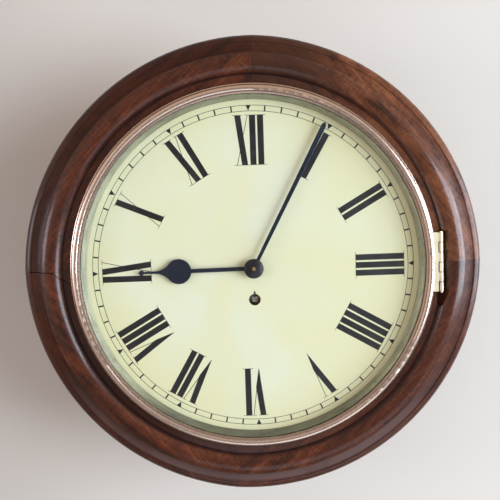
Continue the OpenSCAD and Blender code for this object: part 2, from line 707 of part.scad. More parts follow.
// Toothed wheels. A wheel tooth is wide with a pointed tip, a pinion leaf is narrow
function tooth(rp, m, a, p, w, tip, add, ded) = [polar(rp - ded * m, a - w * p), polar(rp, a - w * p),
    polar(rp + add * m, a - tip * p), polar(rp + add * m, a + tip * p), polar(rp, a + w * p),
        polar(rp - ded * m, a + w * p)];
function wheel_points(n, m, phase) = [for (k = [0 : n - 1])
    each tooth(n * m / 2, m, phase + k * 360 / n, 360 / n, 0.22, 0.06, 0.95, 1.25)];
function leaf_points(n, m, phase) = [for (k = [0 : n - 1])
    each tooth(n * m / 2, m, phase + k * 360 / n, 360 / n, 0.17, 0.05, 0.45, 1.5)];
function even_points(n, m, phase) = [for (k = [0 : n - 1])
    each tooth(n * m / 2, m, phase + k * 360 / n, 360 / n, 0.22, 0.07, 0.85, 1.15)];
// Phase of a wheel that meshes with another: dir leads from the first wheel to it
function mesh(dir, phase, n, n2) = dir + 180 + 180 / n2 - (phase - dir) * n / n2;
// Window between two spokes, from radius a to radius b
function window(a, b, from, to) = concat(
    [for (k = [0 : 6]) polar(b, from + (to - from) * k / 6)],
    [for (k = [6 : -1 : 0]) polar(a, from + (to - from) * k / 6)]);
module crossed(points, hub, rim, arms, spoke, bore) difference() {
    polygon(points);
    for (k = [0 : arms - 1]) {
        a = asin(spoke / 2 / hub);
        b = asin(spoke / 2 / rim);
        polygon(concat(
            [for (i = [0 : 6]) polar(rim, k * 360 / arms + b + (360 / arms - 2 * b) * i / 6)],
            [for (i = [6 : -1 : 0]) polar(hub, k * 360 / arms + a + (360 / arms - 2 * a) * i / 6)]));
    }
    circle(bore, $fn = 12);
}
module wheel_body(z, t) translate([0, 0, z]) linear_extrude(t) children();
module leaves(n, m, phase, z, t) wheel_body(z, t) difference() {
    polygon(leaf_points(n, m, phase));
    circle(leaf_bore * m * n / 2, $fn = 12);
}
leaf_bore = 0.36;                                // bore of a pinion, as a share of its pitch radius
function core_r(n, m) = leaf_bore * m * n / 2 * cos(15) - fit_gap;
function bore12(r) = r / cos(15);                // a twelve-sided hole that clears a shaft of radius r

// Going train
centre_phase = 0;
pinion_phase = -90 + 180 / centre_pinion_n;
great_phase = mesh(-90, pinion_phase, centre_pinion_n, great_n);
third_dir = atan2(third_y, third_x);
third_pinion_phase = mesh(third_dir, centre_phase, centre_n, small_pinion_n);
escape_dir = atan2(escape_y - third_y, -third_x);
third_phase = escape_dir;
escape_pinion_phase = mesh(escape_dir, third_phase, third_n, small_pinion_n);
module centre_wheel() color(brass) hang() {
    wheel_body(centre_z, wheel_t) crossed(wheel_points(centre_n, centre_m, centre_phase), 4.5, 16.8, 5, 2.2,
        bore12(1.9 + fit_gap));
    leaves(centre_pinion_n, great_m, pinion_phase, great_z - 0.6, great_t + 1.2);
    color(steel) {
        disc(2.1, plate_rear, plate_t + 0.8);
        disc(core_r(centre_pinion_n, great_m), gap_back + 0.7, plate_gap - 2);
        disc(1.9, gap_back + 0.8, great_z - 0.7 - gap_back - 0.8);
        disc(1.9, great_z + great_t + 0.7, gap_front - 0.6 - great_z - great_t - 0.7);
        disc(2.1, gap_front - 0.7, plate_t + 0.9);
        difference() {
            disc(arbor_r, gap_front, hand_pin_z + hand_pin_r + 0.3 - gap_front);
            hand_pin_place() cylinder(r = hand_pin_r + fit_gap, h = 10, center = true);
        }
    }
}
module third_wheel() color(brass) hang() at(third_at) {
    wheel_body(third_z, wheel_t) crossed(wheel_points(third_n, third_m, third_phase), 4, 14.6, 5, 2,
        bore12(small_arbor_r + fit_gap));
    small_arbor(centre_m, third_pinion_phase, gap_back + 0.8, 3.2);
}
module escape_wheel() color(brass) hang() at([0, escape_y]) {
    wheel_body(escape_z, 1.2) crossed(escape_points, 4, 11.6, 5, 1.8, bore12(small_arbor_r + fit_gap));
    small_arbor(third_m, escape_pinion_phase, third_z - 1, 3.6);
}
// Thin arbor with a seven-leaf pinion
module small_arbor(m, phase, pinion_z, pinion_t) {
    core = core_r(small_pinion_n, m);
    low = pinion_z - 0.1;
    high = pinion_z + pinion_t + 0.1;
    leaves(small_pinion_n, m, phase, pinion_z, pinion_t);
    color(steel) rotate_extrude()
        polygon([[0, plate_rear + 0.4], [pivot_r, plate_rear + 0.4], [pivot_r, gap_back + 0.3],
        [small_arbor_r, gap_back + 0.3], [small_arbor_r, low], [core, low], [core, high],
            [small_arbor_r, high],
        [small_arbor_r, gap_front - 0.3], [pivot_r, gap_front - 0.3], [pivot_r, plate_front - 0.4],
            [0, plate_front - 0.4]]);
}
small_arbor_r = 1.2;
// Thirty long teeth, their tips leaning forwards
escape_points = [for (k = [0 : escape_n - 1]) let (p = 360 / escape_n, a = k * p)
    each [polar(escape_r - 3.4, a - 0.36 * p), polar(escape_r, a), polar(escape_r, a + 0.05 * p),
        polar(escape_r - 3.4, a + 0.2 * p)]];

// Great wheel, fusee and gut
module great_wheel() color(brass) hang() at([0, arbor_y])
    wheel_body(great_z, great_t) crossed(wheel_points(great_n, great_m, great_phase), 11, 21.6, 5, 3,
        bore12(4 + run_gap));
function cone_r(k) = 1 / (1 / fusee_big + (1 / fusee_small - 1 / fusee_big) * k / gut_turns);
module fusee_cone() color(brass) hang() at([0, arbor_y]) rotate_extrude() difference() {
    polygon(concat([[4 + fit_gap, cone_z], [fusee_big + 1.6, cone_z], [fusee_big + 1.6, cone_z + 1]],
        [for (k = [0 : gut_turns]) [cone_r(k), cone_z + 1.2 + k * groove_pitch]],
        [[fusee_small, stop_z - 1], [4 + fit_gap, stop_z - 1]]));
    for (k = [0 : gut_turns - 1])
        translate([cone_r(k + 0.5) + 0.25, cone_z + 1.2 + (k + 0.5) * groove_pitch])
        circle(gut_r, $fn = 24);
}
module gut_on_fusee() color("#c9a86a") hang() at([0, arbor_y]) for (k = [0 : gut_turns - 1])
    rotate_extrude() translate([cone_r(k + 0.5) + 0.25, cone_z + 1.2 + (k + 0.5) * groove_pitch])
        circle(gut_r - fit_gap, $fn = 24);
module fusee_arbor() color(steel) hang() at([0, arbor_y]) {
    disc(3.5, plate_rear, plate_t + 0.9);
    disc(4, gap_back + 0.8, plate_gap - 1.6);
    disc(3.5, gap_front - 0.9, plate_t + 4.9);
    slab([-2.3, 2.3], [-2.3, 2.3], [plate_front + 3.9, seat_z - 1]);
    translate([0, 0, stop_z]) linear_extrude(2) difference() {
        union() {
            circle(8);
            translate([0, -2.5]) square([13, 5]);
        }
        circle(3.9);
    }
}
// The straight run of gut leaves the cone's small end and lies along both on their upper left
gut_last = gut_turns - 0.5;
gut_z = cone_z + 1.2 + gut_last * groove_pitch;
gut_from_r = cone_r(gut_last) + 0.25 + 2 * gut_r + 0.05;
gut_to_r = drum_r + gut_r + 0.05;
gut_lean = asin((gut_to_r - gut_from_r) / barrel_away);
barrel_dir = atan2(barrel_way[1], barrel_way[0]);
gut_side = barrel_dir - 90 - gut_lean;
gut_a = [0, arbor_y] + polar(gut_from_r, gut_side);
gut_b = barrel_at + polar(gut_to_r, gut_side);
module gut_run() color("#c9a86a") hang() translate([gut_a[0], gut_a[1], gut_z])
    rotate([0, 0, atan2(gut_b[1] - gut_a[1], gut_b[0] - gut_a[0])]) rotate([0, 90, 0])
        cylinder(r = gut_r, h = norm(gut_b - gut_a));

// Spring barrel
module barrel() color(brass) hang() at(barrel_at) difference() {
    disc(drum_r, barrel_z, barrel_len);
    disc(drum_r - drum_wall, barrel_z + drum_wall, barrel_len);
    disc(barrel_arbor_r + run_gap, barrel_z - eps, barrel_len);
}
module barrel_cap() color(brass) hang() at(barrel_at)
    ring(drum_r - drum_wall - fit_gap, barrel_arbor_r + run_gap, barrel_z + barrel_len - drum_wall,
        drum_wall);
module barrel_arbor() color(steel) hang() at(barrel_at) difference() {
    union() {
        disc(barrel_arbor_r - 0.4, plate_rear, plate_gap + 2 * plate_t + 6);
        disc(barrel_arbor_r, gap_back + 0.6, plate_gap - 1.2);
        disc(7, barrel_z + drum_wall + 0.6, barrel_len - 2 * drum_wall - 1.2);
        translate([0, 0, plate_front + 0.4]) linear_extrude(2) polygon(ratchet_points);
    }
}
ratchet_r = 9;
ratchet_points = [for (k = [0 : 23]) each [polar(ratchet_r, k * 15), polar(ratchet_r - 1.6, k * 15 + 1)]];
// The mainspring: a flat spiral, closed inside the barrel
coil_turns = 7;
coil_from = 7.4;
coil_to = drum_r - drum_wall - 0.8;
function coil(side) = [for (k = [0 : coil_turns * 20]) let (t = k / (coil_turns * 20))
    polar(coil_from + side + (coil_to - coil_from - 0.5) * t, t * 360 * coil_turns)];
module mainspring() color(steel) hang() at(barrel_at) translate([0, 0, barrel_z + drum_wall + 1])
    linear_extrude(barrel_len - 2 * drum_wall - 2)
        polygon(concat(coil(0), [for (k = [coil_turns * 20 : -1 : 0]) coil(0.4)[k]]));
click_at = barrel_at + [15, -9];
module setup_click() color(steel) hang() at(click_at) difference() {
    union() {
        disc(1.5, gap_front, plate_t + 3);
        disc(3, plate_front + 0.4, 2);
        translate([0, 0, plate_front + 0.4]) linear_extrude(2)
            polygon([[0, 3], [-7.2, 3.4], [-7.6, 1.8], [0, -3]]);
    }
}

// Escapement: an anchor clear of the wheel, its crutch behind the back plate
nib_r = escape_r + 0.9;                          // the nibs' distance from the escape arbor
nib_dir = 46;
function s_nib(s, r, a) = [s * r * sin(a), r * cos(a) - pallet_lift];
module pallets() color(steel) hang() at([0, pallet_y]) {
    disc(pivot_r, cock_z + 0.3, plate_front - 0.4 - cock_z - 0.3);
    disc(1.4, plate_rear - 1.2, gap_front - 0.5 - plate_rear + 1.2);
    translate([0, 0, escape_z - 1.2]) linear_extrude(3.6) difference() {
        union() {
            circle(4);
            for (s = [-1, 1]) {
                polygon([[0, 4.6], [s * 9, -2.2], [s * 13.4, -5.6], [s * 15.2, -8.8],
                    s_nib(s, nib_r + 0.5, nib_dir + 4), s_nib(s, nib_r, nib_dir), [s * 10.2, -7.4],
                        [s * 2, -3.4], [0, -3]]);
            }
        }
        circle(1.4 + fit_gap);
    }
}
crutch_z = plate_rear - 4;
module crutch() color(steel) hang() at([0, pallet_y]) {
    difference() {
        union() {
            disc(3.4, crutch_z, 2.4);
            slab([-1.3, 1.3], [-36, 0], [crutch_z, crutch_z + 1.6]);
            slab([-3.8, 3.8], [-38, -33], [crutch_z, crutch_z + 1.6]);
            for (s = [-1, 1]) scale_x(s)
                slab([rod_r + 0.25, rod_r + 1.8], [-38, -34], [rod_z - 2.4, crutch_z + 1]);
        }
        disc(pivot_r + fit_gap, crutch_z - eps, 5);
    }
}
cock_z = plate_rear - 8;
cock_feet = [-17, 17];
module back_cock() color(brass) hang() difference() {
    union() {
        slab([-21, 21], [pallet_y - 4.5, pallet_y + 4.5], [cock_z, cock_z + 2.4]);
        for (x = cock_feet) slab([x - 4, x + 4], [pallet_y - 4.5, pallet_y + 4.5], [cock_z, plate_rear]);
        for (x = cock_feet) at([x, pallet_y]) disc(1.3, plate_rear - 1, plate_t + 0.8);
        slab([-6, 6], [pallet_y + 1.5, chop_top], [rod_z - 5, cock_z + 0.5]);
        slab([-6, 6], [pallet_y + 4, chop_top], [cock_z, cock_z + 2.4]);
    }
    at([0, pallet_y]) disc(pivot_r + run_gap, cock_z - eps, 3 + eps);
    slab([-1.2, 1.2], [pallet_y, chop_top + 1], [rod_z - 6, cock_z - 0.4]);
}
rod_r = 1.6;
chop_top = pallet_y + 7.5;
top_pin_r = 1;
top_pin_y = chop_top + 0.35 + top_pin_r;
rod_top = pallet_y - 9;
rod_bottom = pallet_y - pendulum_len - bob_r - 8;
module suspension_spring() color(steel) hang() {
    slab([-0.12, 0.12], [rod_top - 3, chop_top], [rod_z - 2.2, rod_z + 2.2]);
    translate([0, top_pin_y, rod_z]) rotate([0, 90, 0]) cylinder(r = top_pin_r, h = 8, center = true);
    slab([-0.4, 0.4], [chop_top - 4, top_pin_y + 1.6], [rod_z - 2.6, rod_z + 2.6]);
}
module pendulum_rod() color(steel) hang() difference() {
    union() {
        translate([0, rod_top - 4, rod_z]) rotate([90, 0, 0])
            cylinder(r = rod_r, h = rod_top - 4 - rod_bottom);
        translate([0, rod_top + 0.2, rod_z]) rotate([90, 0, 0]) cylinder(r = 2.4, h = 6);
    }
    slab([-0.15, 0.15], [rod_top - 3.1, rod_top + 2], [rod_z - 5, rod_z + 5]);
}
bob_y = pallet_y - pendulum_len;
bob_t = 14;
bob_arc = (pow(bob_r, 2) + pow(bob_t / 2, 2)) / bob_t;
bob_edge = asin((bob_r - 0.5) / bob_arc);
bob_side = arc(bob_t / 2 - bob_arc, 0, bob_arc, 0, bob_edge, 12);
module pendulum_bob() color(brass) hang() difference() {
    translate([0, bob_y, rod_z]) rotate_extrude() polygon(concat(
        [for (p = bob_side) [p[1], p[0]]], [for (k = [12 : -1 : 0]) [bob_side[k][1], -bob_side[k][0]]]));
    translate([0, bob_y + bob_r + 1, rod_z]) rotate([90, 0, 0])
        cylinder(r = rod_r + fit_gap, h = 2 * bob_r + 2);
}
module rating_nut() color(brass) hang() translate([0, bob_y - bob_r + 0.2, rod_z]) rotate([90, 0, 0])
    difference() {
    cylinder(r = 5, h = 4);
    translate([0, 0, -eps]) cylinder(r = rod_r + fit_gap, h = 5);
}

// Motion work
cannon_phase = 0;
minute_phase = mesh(minute_dir, cannon_phase, motion_n, motion_n);
minute_pinion_phase = 0;
hour_phase = mesh(minute_dir + 180, minute_pinion_phase, minute_pinion_n, hour_n);
module cannon_wheel() color(brass) hang() {
    wheel_body(cannon_z, wheel_t) crossed(even_points(motion_n, motion_m, cannon_phase), 4.2, 7.2, 4, 2,
        bore12(cannon_r + fit_gap));
    ring(cannon_r, arbor_r + run_gap, plate_front + 0.4, minute_hand_z + hand_t + 0.4 - plate_front - 0.4);
}
module minute_wheel() color(brass) hang() at(minute_at) {
    wheel_body(cannon_z, wheel_t) crossed(even_points(motion_n, motion_m, minute_phase), 3, 7.2, 4, 2,
        bore12(stud_r + run_gap));
    wheel_body(cannon_z + wheel_t, hour_z + 1.8 - cannon_z - wheel_t) difference() {
        polygon(leaf_points(minute_pinion_n, hour_m, minute_pinion_phase));
        circle(bore12(stud_r + run_gap), $fn = 12);
    }
}
stud_r = 0.6;
module hour_wheel() color(brass) hang() {
    wheel_body(hour_z, 1.4) crossed(wheel_points(hour_n, hour_m, hour_phase), 6.4, 15.6, 5, 2.2,
        bore12(hour_pipe_r + fit_gap));
    ring(hour_pipe_r, bridge_r + run_gap, hour_z - 0.5, hour_hand_z + hand_t + 0.2 - hour_z + 0.5);
}
module motion_bridge() color(brass) hang() {
    difference() {
        union() {
            translate([0, 0, bridge_z]) rotate([0, 0, bridge_dir]) slab([-23, 23], [-4, 4], [0, 1.4]);
            disc(bridge_r, bridge_z, hour_hand_z - 0.4 - bridge_z);
            for (p = bridge_feet) at(p) {
                disc(3, plate_front, bridge_z - plate_front + 0.2);
                disc(1.3, gap_front + 0.2, plate_t);
            }
        }
        disc(cannon_r + run_gap, plate_front, dial_z);
    }
    at(minute_at) {
        disc(1.2, gap_front + 0.2, plate_t + cannon_z - plate_front - 0.3);
        disc(stud_r, gap_front + 1, hour_z + 2.2 - gap_front - 1);
    }
}

surround_upper_right();
surround_lower_right();
surround_lower_left();
surround_upper_left();
bezel_ring();
sight_ring();
glass();
bezel_hinge_leaf();
surround_hinge_leaf();
bezel_hinge_pin();
dial_plate();
dial_feet();
hour_hand();
minute_hand();
hand_collet();
hand_pin();
back_board();
case_top();
case_left_side();
case_right_side();
case_bottom();
battens();
case_pegs();
side_door();
bottom_door();
case_hinge_leaves();
side_door_leaves();
bottom_door_leaves();
side_door_button();
bottom_door_button();
hanging_plate();
wood_screws();
taper_pins();
front_plate();
back_plate();
pillars();
barrel();
barrel_cap();
barrel_arbor();
mainspring();
setup_click();
fusee_cone();
fusee_arbor();
great_wheel();
gut_run();
gut_on_fusee();
centre_wheel();
third_wheel();
escape_wheel();
pallets();
crutch();
back_cock();
suspension_spring();
pendulum_rod();
pendulum_bob();
rating_nut();
cannon_wheel();
minute_wheel();
hour_wheel();
motion_bridge();
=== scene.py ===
# A fusee dial clock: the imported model, the paint on its dial, its finishes, and the room that it hangs in.
import math

import bmesh
import bpy
from mathutils import Matrix, Vector


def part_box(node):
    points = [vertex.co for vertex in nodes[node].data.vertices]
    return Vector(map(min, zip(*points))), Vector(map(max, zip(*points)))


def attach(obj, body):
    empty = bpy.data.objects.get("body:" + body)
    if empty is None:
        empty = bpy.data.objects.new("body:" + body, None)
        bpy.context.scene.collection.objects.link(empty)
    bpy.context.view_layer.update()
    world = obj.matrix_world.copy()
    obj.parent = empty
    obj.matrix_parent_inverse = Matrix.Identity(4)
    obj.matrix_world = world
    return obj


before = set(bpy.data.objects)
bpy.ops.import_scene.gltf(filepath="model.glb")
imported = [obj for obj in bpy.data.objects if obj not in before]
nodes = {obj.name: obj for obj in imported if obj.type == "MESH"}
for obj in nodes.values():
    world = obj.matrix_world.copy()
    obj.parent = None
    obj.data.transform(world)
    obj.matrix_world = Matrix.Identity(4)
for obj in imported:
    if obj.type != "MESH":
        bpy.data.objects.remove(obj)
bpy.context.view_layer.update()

MM = 0.001
DIAL_FRONT = -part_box("dial_plate")[0][1]

# Camera: in front of the dial and a little above its middle, as in the photograph
IMAGE_WIDTH = 500
FOCAL_IN_PIXELS = 590
SENSOR_WIDTH = 36
CAMERA_TO_DIAL = 0.5098
CAMERA_TO_RIGHT = -0.00822
CAMERA_UP = 0.05582
across = Vector((0.99922, -0.01386, -0.03687))
upward = Vector((0.03784, 0.07780, 0.99625))
backward = Vector((-0.01094, -0.99687, 0.07827))

camera_data = bpy.data.cameras.new("camera")
camera_data.sensor_width = SENSOR_WIDTH
camera_data.lens = SENSOR_WIDTH * FOCAL_IN_PIXELS / IMAGE_WIDTH
camera_data.clip_start = 0.01
camera = bpy.data.objects.new("camera", camera_data)
bpy.context.scene.collection.objects.link(camera)
bpy.context.scene.camera = camera
camera_turn = Matrix((across, upward, backward)).transposed().to_4x4()
camera_place = Matrix.Translation((CAMERA_TO_RIGHT, -(DIAL_FRONT + CAMERA_TO_DIAL), CAMERA_UP))
camera.matrix_world = camera_place @ camera_turn


# Painting: drawn flat in millimetres, x to the right and y to twelve o'clock, and then hung on the dial
COAT = 0.05
LIFT = 0.01


def deselect():
    """Leaves edit mode and selects nothing, so that the next operator acts on its own piece only."""
    if bpy.context.mode != "OBJECT":
        bpy.ops.object.mode_set(mode="OBJECT")
    bpy.ops.object.select_all(action="DESELECT")


def start_piece(name):
    """An empty mesh to draw on, in edit mode."""
    deselect()
    bpy.ops.mesh.primitive_plane_add(size=1 * MM)
    piece = bpy.context.active_object
    piece.name = name
    piece.data.name = name
    bpy.ops.object.mode_set(mode="EDIT")
    bpy.ops.mesh.select_all(action="SELECT")
    bpy.ops.mesh.delete(type="VERT")
    return piece


def tag_new(piece):
    """Marks the selected points, which are those of the newest stroke."""
    for point in bmesh.from_edit_mesh(piece.data).verts:
        point.tag = point.select


def select_in_stroke(piece, test):
    """Selects the newest stroke's points that pass the test, and nothing else."""
    shape = bmesh.from_edit_mesh(piece.data)
    for face in shape.faces:
        face.select = False
    for edge in shape.edges:
        edge.select = False
    for point in shape.verts:
        point.select = point.tag and test(point.co)
    shape.select_flush(True)
    bmesh.update_edit_mesh(piece.data)


def stroke(piece, low, high, x_low, x_high, w_low, w_high):
    """A straight brush stroke from (x_low, low) to (x_high, high), as wide as given at each end."""
    middle = (low + high) / 2 * MM
    bpy.ops.mesh.primitive_plane_add(size=1 * MM, location=(0, middle, 0))
    tag_new(piece)
    bpy.ops.transform.resize(value=(1, high - low, 1), center_override=(0, middle, 0))
    for x, w, end, above in ((x_low, w_low, low, False), (x_high, w_high, high, True)):
        select_in_stroke(piece, lambda p, above=above: (p.y > middle) == above)
        bpy.ops.transform.resize(value=(w, 1, 1), center_override=(0, end * MM, 0))
        bpy.ops.transform.translate(value=(x * MM, 0, 0))


def turn_selected(degrees):
    """Turns what is selected clockwise about the arbor."""
    bpy.ops.transform.rotate(value=math.radians(degrees), orient_axis="Z", center_override=(0, 0, 0))


def turned_stroke(piece, low, high, x, w_low, w_high, degrees):
    """A stroke that is drawn at twelve and turned clockwise about the arbor."""
    stroke(piece, low, high, x, x, w_low, w_high)
    select_in_stroke(piece, lambda p: True)
    turn_selected(degrees)


def hang_paint(piece, turn):
    """Gives the drawing a coat's thickness and hangs it on the dial, turned clockwise."""
    bpy.ops.object.mode_set(mode="OBJECT")
    solid = piece.modifiers.new("coat", "SOLIDIFY")
    solid.thickness = COAT * MM
    solid.offset = 1
    bpy.ops.object.modifier_apply(modifier=solid.name)
    piece.rotation_euler = (0, 0, -math.radians(turn))
    bpy.ops.object.transform_apply(location=True, rotation=True, scale=True)
    piece.rotation_euler = (math.pi / 2, 0, 0)
    piece.location = (0, -DIAL_FRONT + LIFT * MM, 0)
    bpy.ops.object.transform_apply(location=True, rotation=True, scale=True)
    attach(piece, "frame")
    return piece


# Numerals, painted by hand with their feet to the centre
FOOT = 88.9
HEAD = 131.0
BAR = 5.3
GAP = 1.5
CROSS = 11.0
LEAN = 5.2
HAIR = 0.5
HAIR_RUN = 9.8
BRUSH_SLIP = 0.1
BRUSH_SLIM = 0.2
FOOT_SLIM = 0.15
VEE_FILL = 0.84
VEE_POINT = 0.3
VEE_OVERLAP = 4
SERIF_LINE = 0.36
SERIF_REACH = {
    "bar": (2.1, 2.1), "thick head": (1.7, 1.3), "thick foot": (1.5, 1.8),
    "vee hair": (2.4, 2.6), "ex hair": (2.2, 2.2), "ex hair foot": (2.6, 2.2),
}


def serif(piece, y, x, width, kind):
    """A fine line across the end of a stroke that begins at x, reaching past it on both sides."""
    left, right = SERIF_REACH[kind]
    middle = x + (width + right - left) / 2
    length = left + width + right
    stroke(piece, y - SERIF_LINE / 2, y + SERIF_LINE / 2, middle, middle, length, length)


def bar(piece, x):
    """A thick upright stroke, a little narrower at its foot."""
    stroke(piece, FOOT, HEAD, x + BAR / 2 - BRUSH_SLIP, x + BAR / 2, BAR - FOOT_SLIM, BAR)
    for y in (FOOT, HEAD):
        serif(piece, y, x, BAR, "bar")


def vee(piece, x):
    """A thick stroke and a hairline that meet, filled below where they touch."""
    top = x + BAR / 2 - BRUSH_SLIP
    apex = x + LEAN
    slope = (apex + BAR / 2 - top) / (HEAD - FOOT)
    hair_slope = (x + CROSS - apex) / (HEAD - FOOT)
    meet = FOOT + BAR / (slope + hair_slope) * VEE_FILL
    at_meet = top + slope * (HEAD - meet)
    hair_foot = meet - VEE_OVERLAP
    stroke(piece, meet, HEAD, at_meet, top, BAR - BRUSH_SLIM, BAR - BRUSH_SLIM)
    stroke(piece, FOOT, meet, apex + BRUSH_SLIP, at_meet, VEE_POINT, BAR - BRUSH_SLIM)
    stroke(piece, hair_foot, HEAD, apex + hair_slope * (hair_foot - FOOT), x + CROSS, HAIR, HAIR)
    serif(piece, HEAD, x, BAR, "thick head")
    serif(piece, HEAD, x + CROSS, 0, "vee hair")


def ex(piece, x):
    """A thick stroke and a hairline that cross."""
    stroke(piece, FOOT, HEAD, x + BAR / 2 + LEAN, x + BAR / 2 - BRUSH_SLIP, BAR - BRUSH_SLIM, BAR - BRUSH_SLIP)
    stroke(piece, FOOT, HEAD, x + CROSS - HAIR_RUN, x + CROSS, HAIR, HAIR)
    serif(piece, HEAD, x, BAR, "thick head")
    serif(piece, HEAD, x + CROSS, 0, "ex hair")
    serif(piece, FOOT, x + LEAN, BAR, "thick foot")
    serif(piece, FOOT, x + CROSS - HAIR_RUN, 0, "ex hair foot")


GLYPHS = {"I": (bar, BAR), "V": (vee, CROSS), "X": (ex, CROSS)}
NUMERALS = ["XII", "I", "II", "III", "IIII", "V", "VI", "VII", "VIII", "IX", "X", "XI"]
HAND_SHIFT = [0.4, 1.05, 1.1, 1.0, 0.4, 0.8, 2.3, 1.7, -0.45, 0.9, -1.75, 1.1]
numerals = []
for hour, letters in enumerate(NUMERALS):
    piece = start_piece(f"numeral_{hour or 12}")
    width = sum(GLYPHS[letter][1] for letter in letters) + GAP * (len(letters) - 1)
    x = HAND_SHIFT[hour] - width / 2
    for letter in letters:
        draw, wide = GLYPHS[letter]
        draw(piece, x)
        x += wide + GAP
    numerals.append(hang_paint(piece, 30 * hour))

# Minute track: two fine circles, the marks of one hour copied round the dial, and a wedge at each hour
TRACK_OUT = 139.3
TRACK_IN = 134.5
LINE = 0.42
CIRCLE_POINTS = 300
MARK_WIDTH = 1.25
WEDGE_BASE = 4.3
WEDGE_POINT = 0.15
WEDGE_START = 0.2
WEDGE_SLIP = [0.2, 0.2, 1.5, 0.8, 0.2, 0.2, 0.2, 1.0, 0.3, 0.1, 0.2, 1.1]
track = start_piece("minute_track")
for radius in (TRACK_OUT, TRACK_IN):
    bpy.ops.mesh.select_all(action="DESELECT")
    outer_line = radius + LINE / 2
    bpy.ops.mesh.primitive_circle_add(vertices=CIRCLE_POINTS, radius=outer_line * MM, fill_type="NOTHING")
    bpy.ops.mesh.extrude_edges_move()
    inner = (radius - LINE / 2) / outer_line
    bpy.ops.transform.resize(value=(inner, inner, 1), center_override=(0, 0, 0))
bpy.ops.mesh.select_all(action="SELECT")
bpy.ops.mesh.normals_make_consistent(inside=False)
hang_paint(track, 0)
marks = start_piece("minute_marks")
for minute in range(1, 5):
    turned_stroke(marks, TRACK_IN, TRACK_OUT, 0, MARK_WIDTH, MARK_WIDTH, 6 * minute)
bpy.ops.mesh.select_all(action="SELECT")
for hour in range(1, 12):
    bpy.ops.mesh.duplicate()
    turn_selected(30)
for hour, slip in enumerate(WEDGE_SLIP):
    turned_stroke(marks, TRACK_IN + WEDGE_START, TRACK_OUT, slip, WEDGE_POINT, WEDGE_BASE, 30 * hour)
hang_paint(marks, 0)


# Node trees: groups shared by the finishes, and a helper that adds and joins nodes
COLOUR = "NodeSocketColor"
NUMBER = "NodeSocketFloat"
VECTOR = "NodeSocketVector"


def new_group(name, inputs, outputs):
    """A shader group with named sockets: the helper that draws in it, what it is given and what it puts out."""
    group = bpy.data.node_groups.new(name, "ShaderNodeTree")
    for kind, label, value in inputs:
        socket = group.interface.new_socket(name=label, in_out="INPUT", socket_type=kind)
        if value is not None:
            socket.default_value = value
    for kind, label in outputs:
        group.interface.new_socket(name=label, in_out="OUTPUT", socket_type=kind)
    given = group.nodes.new("NodeGroupInput").outputs
    out = group.nodes.new("NodeGroupOutput").inputs
    return group, Sheet(group), given, out


class Sheet:
    """Adds nodes to a tree and joins them, so that a finish reads from top to bottom."""

    def __init__(self, tree):
        self.tree = tree

    def put(self, socket, value):
        """Joins another node's output to the socket, or sets a plain number or colour on it."""
        if isinstance(value, bpy.types.NodeSocket):
            self.tree.links.new(value, socket)
        else:
            socket.default_value = value

    def fill(self, node, values):
        """Puts a value on each of the node's sockets that are named."""
        for name, value in values.items():
            self.put(node.inputs[name], value)

    def add(self, kind, inputs=None, **settings):
        """A new node with its settings made and its inputs filled."""
        node = self.tree.nodes.new(kind)
        for name, value in settings.items():
            setattr(node, name, value)
        self.fill(node, inputs or {})
        return node

    def math(self, operation, *values):
        return self.add("ShaderNodeMath", dict(enumerate(values)), operation=operation).outputs[0]

    def plus(self, a, b):
        return self.math("ADD", a, b)

    def minus(self, a, b):
        return self.math("SUBTRACT", a, b)

    def times(self, a, b):
        return self.math("MULTIPLY", a, b)

    def larger(self, a, b):
        return self.math("MAXIMUM", a, b)

    def parts(self, vector):
        """X, Y and Z of a vector."""
        return self.add("ShaderNodeSeparateXYZ", {"Vector": vector}).outputs

    def noise(self, vector, scale, detail=4.0, roughness=0.55, distortion=0.0):
        return self.add(
            "ShaderNodeTexNoise",
            {"Vector": vector, "Scale": scale, "Detail": detail, "Roughness": roughness, "Distortion": distortion},
        ).outputs["Fac"]

    def stretch(self, vector, scale, turn=(0, 0, 0), place=(0, 0, 0)):
        """The place on the piece, scaled, turned and moved for a pattern."""
        return self.add(
            "ShaderNodeMapping", {"Vector": vector, "Scale": scale, "Rotation": turn, "Location": place}
        ).outputs[0]

    def fade(self, value, low, high, to_low=0.0, to_high=1.0):
        """Goes smoothly from to_low to to_high while the value goes from low to high."""
        return self.add(
            "ShaderNodeMapRange",
            {"Value": value, "From Min": low, "From Max": high, "To Min": to_low, "To Max": to_high},
            interpolation_type="SMOOTHSTEP",
        ).outputs[0]

    def mix(self, factor, a, b):
        return self.add("ShaderNodeMix", {0: factor, 6: a, 7: b}, data_type="RGBA").outputs[2]

    def group(self, group, **inputs):
        return self.add("ShaderNodeGroup", inputs, node_tree=group).outputs

    def bump(self, shader, height, distance, strength, sockets=("Normal",)):
        """Raises the surface by a height, without changing its shape."""
        node = self.add("ShaderNodeBump", {"Height": height, "Distance": distance, "Strength": strength})
        for socket in sockets:
            self.put(shader.inputs[socket], node.outputs[0])


